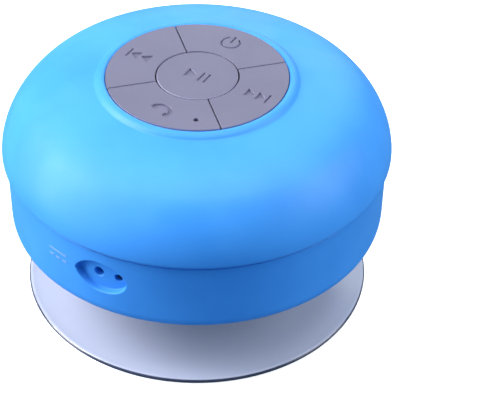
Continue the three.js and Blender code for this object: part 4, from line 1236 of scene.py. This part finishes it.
@dataclass
class Keypad:
    """Five soft keys: a round one in the middle and four quarters of the ring round it."""

    radius: float = 19.78
    play_radius: float = 8.8
    groove: float = 0.35
    thickness: float = 2.6
    edge: float = 0.22
    sign_ring: float = 14.5
    sign_depth: float = 0.42
    stroke: float = 0.5
    nub: float = 1.9
    nub_root: float = 0.5
    microphone_hole: float = 0.62
    microphone_turn: float = 299.5
    microphone_ring: float = 16.2
    turns: dict[Sign, float] = field(default_factory=lambda: {
        Sign.NEXT: 0.0, Sign.POWER: 90.0, Sign.PREVIOUS: 180.0, Sign.PHONE: 270.0})

    def bar(self, x: float, low: float, high: float) -> list[Corner]:
        """An upright bar's outline.

        Args:
            x: Where its middle stands.
            low: Its lower end.
            high: Its upper end.

        Returns:
            The corners, in order.
        """
        half = self.stroke / 2
        return [Corner(x - half, low, 0.1), Corner(x + half, low, 0.1),
                Corner(x + half, high, 0.1), Corner(x - half, high, 0.1)]

    @staticmethod
    def arrow(tip: float, base: float, half: float) -> list[Corner]:
        """A triangle's outline that points along X."""
        return [Corner(base, -half, 0.14), Corner(tip, 0.0, 0.14), Corner(base, half, 0.14)]

    def arc(self, radius: float, width: float, start: float, sweep_angle: float) -> Shape:
        """A sunk stroke along part of a circle, in the same heights as the other strokes.

        Args:
            radius: Radius of the stroke's middle.
            width: Width of the stroke.
            start: Degrees at which it starts.
            sweep_angle: Degrees that it covers.

        Returns:
            The stroke.
        """
        section = [Corner(radius - width / 2, 0), Corner(radius + width / 2, 0),
                   Corner(radius + width / 2, self.sign_depth + 1),
                   Corner(radius - width / 2, self.sign_depth + 1)]
        return Shape.turned(section, 28, sweep_angle).rotated(start)

    def strokes(self, sign: Sign) -> list[Shape]:
        """What is cut into a key for its sign, about the sign's own centre, from z = 0 up.

        Args:
            sign: The sign.

        Returns:
            The cutters.
        """
        top = self.sign_depth + 1
        if sign is Sign.PLAY:
            outlines = [self.arrow(-0.1, -2.75, 1.7), self.bar(0.95, -1.7, 1.7),
                        self.bar(2.35, -1.7, 1.7)]
        elif sign is Sign.PREVIOUS:
            outlines = [self.bar(-2.75, -1.6, 1.6), self.arrow(-2.3, -0.15, 1.5),
                        self.arrow(0.25, 2.5, 1.5)]
        elif sign is Sign.NEXT:
            outlines = [self.bar(2.75, -1.6, 1.6), self.arrow(2.3, 0.15, 1.5),
                        self.arrow(-0.25, -2.5, 1.5)]
        elif sign is Sign.POWER:
            stem = Shape.prism(self.bar(0.0, -0.1, 2.6), 0.0, top)
            return [self.arc(2.05, self.stroke, 122.0, 296.0), stem]
        else:
            ends = []
            for turn in (152.0, -20.0):
                end = Shape.prism([Corner(1.1, -0.62, 0.3), Corner(2.75, -0.62, 0.3),
                                   Corner(2.75, 0.62, 0.3), Corner(1.1, 0.62, 0.3)], 0.0, top)
                ends.append(end.rotated(turn))
            handle = self.arc(2.15, 1.0, -20.0, 172.0)
            return [s.moved((-0.15, -0.75, 0)) for s in (handle, *ends)]
        return [Shape.prism(outline, 0.0, top) for outline in outlines]

    def quarter(self, turn: float) -> Shape:
        """A quarter of the ring with its corners and upper edge rounded.

        Args:
            turn: Degrees at which the quarter is centred.

        Returns:
            The key's plate.
        """
        top = span("next_key")[1].z
        foot = top - self.thickness
        inner = self.play_radius + self.groove
        key = Shape.turned([Corner(inner, foot), Corner(self.radius, foot),
                            Corner(self.radius, top), Corner(inner, top)])
        for side in (-1, 1):
            diagonal = Vector((math.cos(math.pi / 4), side * math.sin(math.pi / 4), 0))
            across = Vector((-diagonal.y * side, diagonal.x * side, 0))
            key.halved(across * (-self.groove / 2), across)
        key.flattened()
        key.rounded(0.35, lambda e: abs(e.verts[0].co.z - e.verts[1].co.z) > 1.0
                    and e.calc_face_angle(0.0) > math.radians(60), segments=3)
        key.flattened()
        key.rounded(self.edge, at_height(top))
        return key.rotated(turn)

    def softened(self, key: Shape) -> Shape:
        """Rounds the mouths of what was sunk into a key's face."""
        level = at_height(span("play_key")[1].z)
        return key.rounded(0.13, lambda e: level(e) and e.calc_face_angle(0.0) > 1.2, segments=2)

    def stalk(self, x: float, y: float) -> Shape:
        """The stub under a key that presses its switch.

        Args:
            x: Where it stands across.
            y: Where it stands along.

        Returns:
            The stub.
        """
        low, high = span("play_key")
        root = high.z - self.thickness + self.nub_root
        stub = Shape.turned([Corner(0, low.z), Corner(self.nub, low.z, 0.3),
                             Corner(self.nub, root), Corner(0, root)], SMALL_STEPS)
        return stub.moved((x, y, 0))

    def build(self, shop: Workshop) -> None:
        """Builds and dresses the five keys.

        Args:
            shop: Makes and dresses the pieces.
        """
        top = span("play_key")[1].z
        floor = top - self.sign_depth
        play = Shape.turned([Corner(0, top - self.thickness),
                             Corner(self.play_radius, top - self.thickness),
                             Corner(self.play_radius, top, self.edge), Corner(0, top)], 120)
        play.flattened().combined(self.stalk(0, 0), join=Join.UNITE)
        play.combined(*[s.moved((0, 0, floor)) for s in self.strokes(Sign.PLAY)])
        self.softened(play)
        shop.piece(play, "play_button", Slot.KEYPAD_SILICONE, ["play_key"], "play_key")
        for sign, turn in self.turns.items():
            angle = math.radians(turn)
            x, y = self.sign_ring * math.cos(angle), self.sign_ring * math.sin(angle)
            key = self.quarter(turn)
            key.combined(self.stalk(x, y), join=Join.UNITE)
            key.combined(*[s.moved((x, y, floor)) for s in self.strokes(sign)])
            self.softened(key)
            if sign is Sign.PHONE:
                place = math.radians(self.microphone_turn)
                hole = Shape.rod(self.microphone_hole, top - 4, top + 1, 24)
                key.combined(hole.moved((self.microphone_ring * math.cos(place),
                                         self.microphone_ring * math.sin(place), 0)))
            node = f"{sign.value}_key"
            shop.piece(key, f"{sign.value}_button", Slot.KEYPAD_SILICONE, [node], node)


# Suction cup and swivel


@dataclass
class SuctionCup:
    """The soft cup: a trumpet-shaped skirt with a beaded rim, on a thick hub."""

    seat: float = 6.0
    hub: float = 12.5
    hollow: float = 8.0
    socket: float = 4.3
    barb: float = 0.7
    socket_depth: float = 5.7
    bead: float = 0.22
    rib_steps: tuple[float, ...] = (1.3, 2.7, 4.1)
    rib: float = 0.22
    throat: float = 0.69
    skirt_sag: float = 0.4
    dish_crown: float = 0.36
    dish_fall: float = 0.22
    bend_start: float = 0.9
    bend_end: float = 10.5

    def outline(self) -> list[Corner]:
        """The cup's section, from the sealing face out, up the skirt, into the socket and back.

        Returns:
            The corners, as radius and height.
        """
        high = span("suction_cup")[1]
        rim, top = high.x, high.z
        skirt = sweep((rim - 1.6, 1.25), (self.throat * rim, 3.3),
                      (self.hub + 4.5, self.skirt_sag * top),
                      (self.hub, top - 1.0), 28)
        dish = sweep((0, self.hollow), (self.dish_crown * rim, self.hollow),
                     (self.throat * rim, self.dish_fall * self.hollow),
                     (rim - self.seat, 0), 24)
        ribs = []
        for step in self.rib_steps:
            at = rim - self.seat + step
            ribs += [Corner(at - self.rib, 0.0), Corner(at, self.rib, 0.08),
                     Corner(at + self.rib, 0.0)]
        return [
            *ribs, Corner(rim - 0.3, 0.0, 0.12), Corner(rim, 0.45, 0.2),
            Corner(rim, 0.95, 0.4), Corner(rim - 0.7, 1.0 + self.bead, 0.25),
            *skirt[:-1], Corner(self.hub, top - 1.0, 0.4),
            Corner(self.hub - 1.0, top, 0.5), Corner(self.socket, top),
            Corner(self.socket + self.barb, top - 0.4 * self.socket_depth, 0.2),
            Corner(self.socket, top - self.socket_depth), Corner(0, top - self.socket_depth),
            *dish,
        ]

    def build(self, shop: Workshop) -> None:
        """Builds and dresses the cup.

        Args:
            shop: Makes and dresses the pieces.
        """
        cup = shop.piece(Shape.turned(self.outline()), "cup_skirt", Slot.CLEAR_CUP,
                         ["suction_cup"], body=None, sharp=40.0)
        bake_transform(cup)


@dataclass
class Swivel:
    """The stud that the speaker turns on, with its washer."""

    flange: float = 9.5
    shaft: float = 6.0
    root: float = 4.2
    groove: float = 0.8
    steps: int = 96

    def build(self, shop: Workshop) -> None:
        """Builds and dresses the stud and the washer.

        Args:
            shop: Makes and dresses the pieces.
        """
        low, high = span("cup_stud")
        hub = span("suction_cup")[1].z + 0.1
        clip = span("stud_clip")
        stud = Shape.turned([
            Corner(0, low.z), Corner(self.root, low.z, 0.15),
            Corner(self.root + 0.7, low.z + 3.4, 0.2), Corner(self.root, hub, 0.1),
            Corner(self.flange, hub, 0.25), Corner(self.flange, hub + 1.2, 0.25),
            Corner(self.shaft, hub + 1.2), Corner(self.shaft, clip[0].z - 0.1, 0.1),
            Corner(self.shaft - self.groove, clip[0].z - 0.1),
            Corner(self.shaft - self.groove, clip[1].z + 0.1),
            Corner(self.shaft, clip[1].z + 0.1, 0.1), Corner(self.shaft, high.z, 0.3),
            Corner(0, high.z)], self.steps)
        shop.piece(stud, "swivel_stud", Slot.GREY_PLASTIC, ["cup_stud"], "cup_mount")
        low, high = span("swivel_washer")
        washer = Shape.ring(self.shaft + 0.2, high.x, low.z, high.z, 0.12, self.steps)
        shop.piece(washer, "slide_washer", Slot.BLACK_PLASTIC, ["swivel_washer"], "cup_mount")


# Parts carried over from the CAD model


@dataclass
class Insides:
    """The CAD parts that keep their own shape: each takes the finish of its material slot."""

    def build(self, shop: Workshop) -> None:
        """Dresses every CAD node still shown.

        Args:
            shop: Holds the materials.
        """
        slots = {row["node"]: row["material_slot"] for row in frame["record"]["subparts"]}
        for name, node in frame["nodes"].items():
            if node.hide_render:
                continue
            finish = Slot(slots[name])
            node.data.materials.clear()
            node.data.materials.append(shop.materials[finish])
            log.info("%s: %s", name, finish.value)


# Studio


@dataclass
class Lamp:
    """A soft rectangular light, aimed at the object."""

    name: str
    place: tuple[float, float, float]
    size: float
    power: float
    colour: tuple[float, float, float] = (1.0, 1.0, 1.0)

    def build(self) -> None:
        """Hangs the light."""
        data = bpy.data.lights.new(self.name, "AREA")
        data.size = self.size
        data.energy = self.power
        data.color = self.colour
        lamp = bpy.data.objects.new(self.name, data)
        lamp.location = self.place
        lamp.rotation_euler = (Vector((0, 0, 0.03)) - lamp.location).to_track_quat(
            "-Z", "Y").to_euler()
        lamp.visible_camera = False
        bpy.context.scene.collection.objects.link(lamp)


@dataclass
class Studio:
    """A pale floor, soft lights and the camera. Lengths are metres, angles degrees."""

    azimuth: float = 30.5
    elevation: float = 38.88
    distance: float = 0.4135
    aim_height: float = 0.01995
    pan: float = -1.5
    lens: float = 133.7
    sky: tuple[float, float, float, float] = (0.125, 0.225, 0.29, 1.0)
    lamps: tuple[Lamp, ...] = (
        Lamp("key", (-0.54, -0.29, 0.54), 0.5, 8.9),
        Lamp("left", (-0.55, -0.40, 0.12), 0.3, 2.2),
        Lamp("top", (0.13, 0.03, 0.82), 0.7, 4.1),
        Lamp("back", (-0.25, 0.75, 0.35), 0.6, 1.5),
        Lamp("right", (0.62, 0.26, 0.38), 0.5, 3.0),
    )

    def floor(self) -> None:
        """Lays the floor, a wide disc with its edge far away."""
        ground = Shape.rod(1500.0, -3.0, -0.05, 64).placed("floor")
        material = bpy.data.materials.new("floor_paper")
        material.use_nodes = True
        graph = Graph(material.node_tree)
        shader = material.node_tree.nodes["Principled BSDF"]
        place = graph.add("ShaderNodeTexCoord").outputs["Object"]
        tint = graph.mixed(graph.noise(place, 4.0), (0.93, 0.93, 0.94, 1), (0.96, 0.96, 0.96, 1))
        seen = graph.add("ShaderNodeLightPath").outputs["Is Camera Ray"]
        tint = graph.mixed(seen, (0.07, 0.19, 0.32, 1), tint)
        material.node_tree.links.new(tint, shader.inputs["Base Color"])
        shader.inputs["Roughness"].default_value = 0.9
        shader.inputs["Emission Color"].default_value = (1, 1, 1, 1)
        material.node_tree.links.new(graph.maths(Sum.MULTIPLY, seen, 0.6),
                                     shader.inputs["Emission Strength"])
        ground.data.materials.append(material)

    def camera(self) -> None:
        """Sets the camera up."""
        turn, lift = math.radians(self.azimuth), math.radians(self.elevation)
        back = Vector((math.sin(turn) * math.cos(lift), -math.cos(turn) * math.cos(lift),
                       math.sin(lift)))
        data = bpy.data.cameras.new("camera")
        data.sensor_width = 36.0
        data.lens = self.lens
        camera = bpy.data.objects.new("camera", data)
        facing = (-back).to_track_quat("-Z", "Y").to_matrix().to_4x4()
        look = facing @ Matrix.Rotation(math.radians(self.pan), 4, "Y")
        place = Vector((0, 0, self.aim_height)) + back * self.distance
        camera.matrix_world = Matrix.Translation(place) @ look
        bpy.context.scene.collection.objects.link(camera)
        bpy.context.scene.camera = camera

    def build(self) -> None:
        """Builds the floor, the lights, the sky and the camera."""
        self.floor()
        for lamp in self.lamps:
            lamp.build()
        world = bpy.data.worlds.new("studio")
        world.use_nodes = True
        graph = Graph(world.node_tree)
        seen = graph.add("ShaderNodeLightPath").outputs["Is Camera Ray"]
        sky = graph.mixed(seen, self.sky, (1, 1, 1, 1))
        world.node_tree.links.new(sky, world.node_tree.nodes["Background"].inputs["Color"])
        bpy.context.scene.world = world
        bpy.context.scene.view_settings.view_transform = "Standard"
        self.camera()


def main() -> None:
    """Builds the object's looks and its studio."""
    logging.basicConfig(level=logging.INFO, format="%(name)s: %(message)s")
    shop = Workshop()
    for part in (UpperShell(), LowerShell(), PortMark(), Keypad(), SuctionCup(), Swivel(),
                 Insides()):
        part.build(shop)
        log.info("%s is done", type(part).__name__)
    Studio().build()


if __name__ == "__main__":
    main()
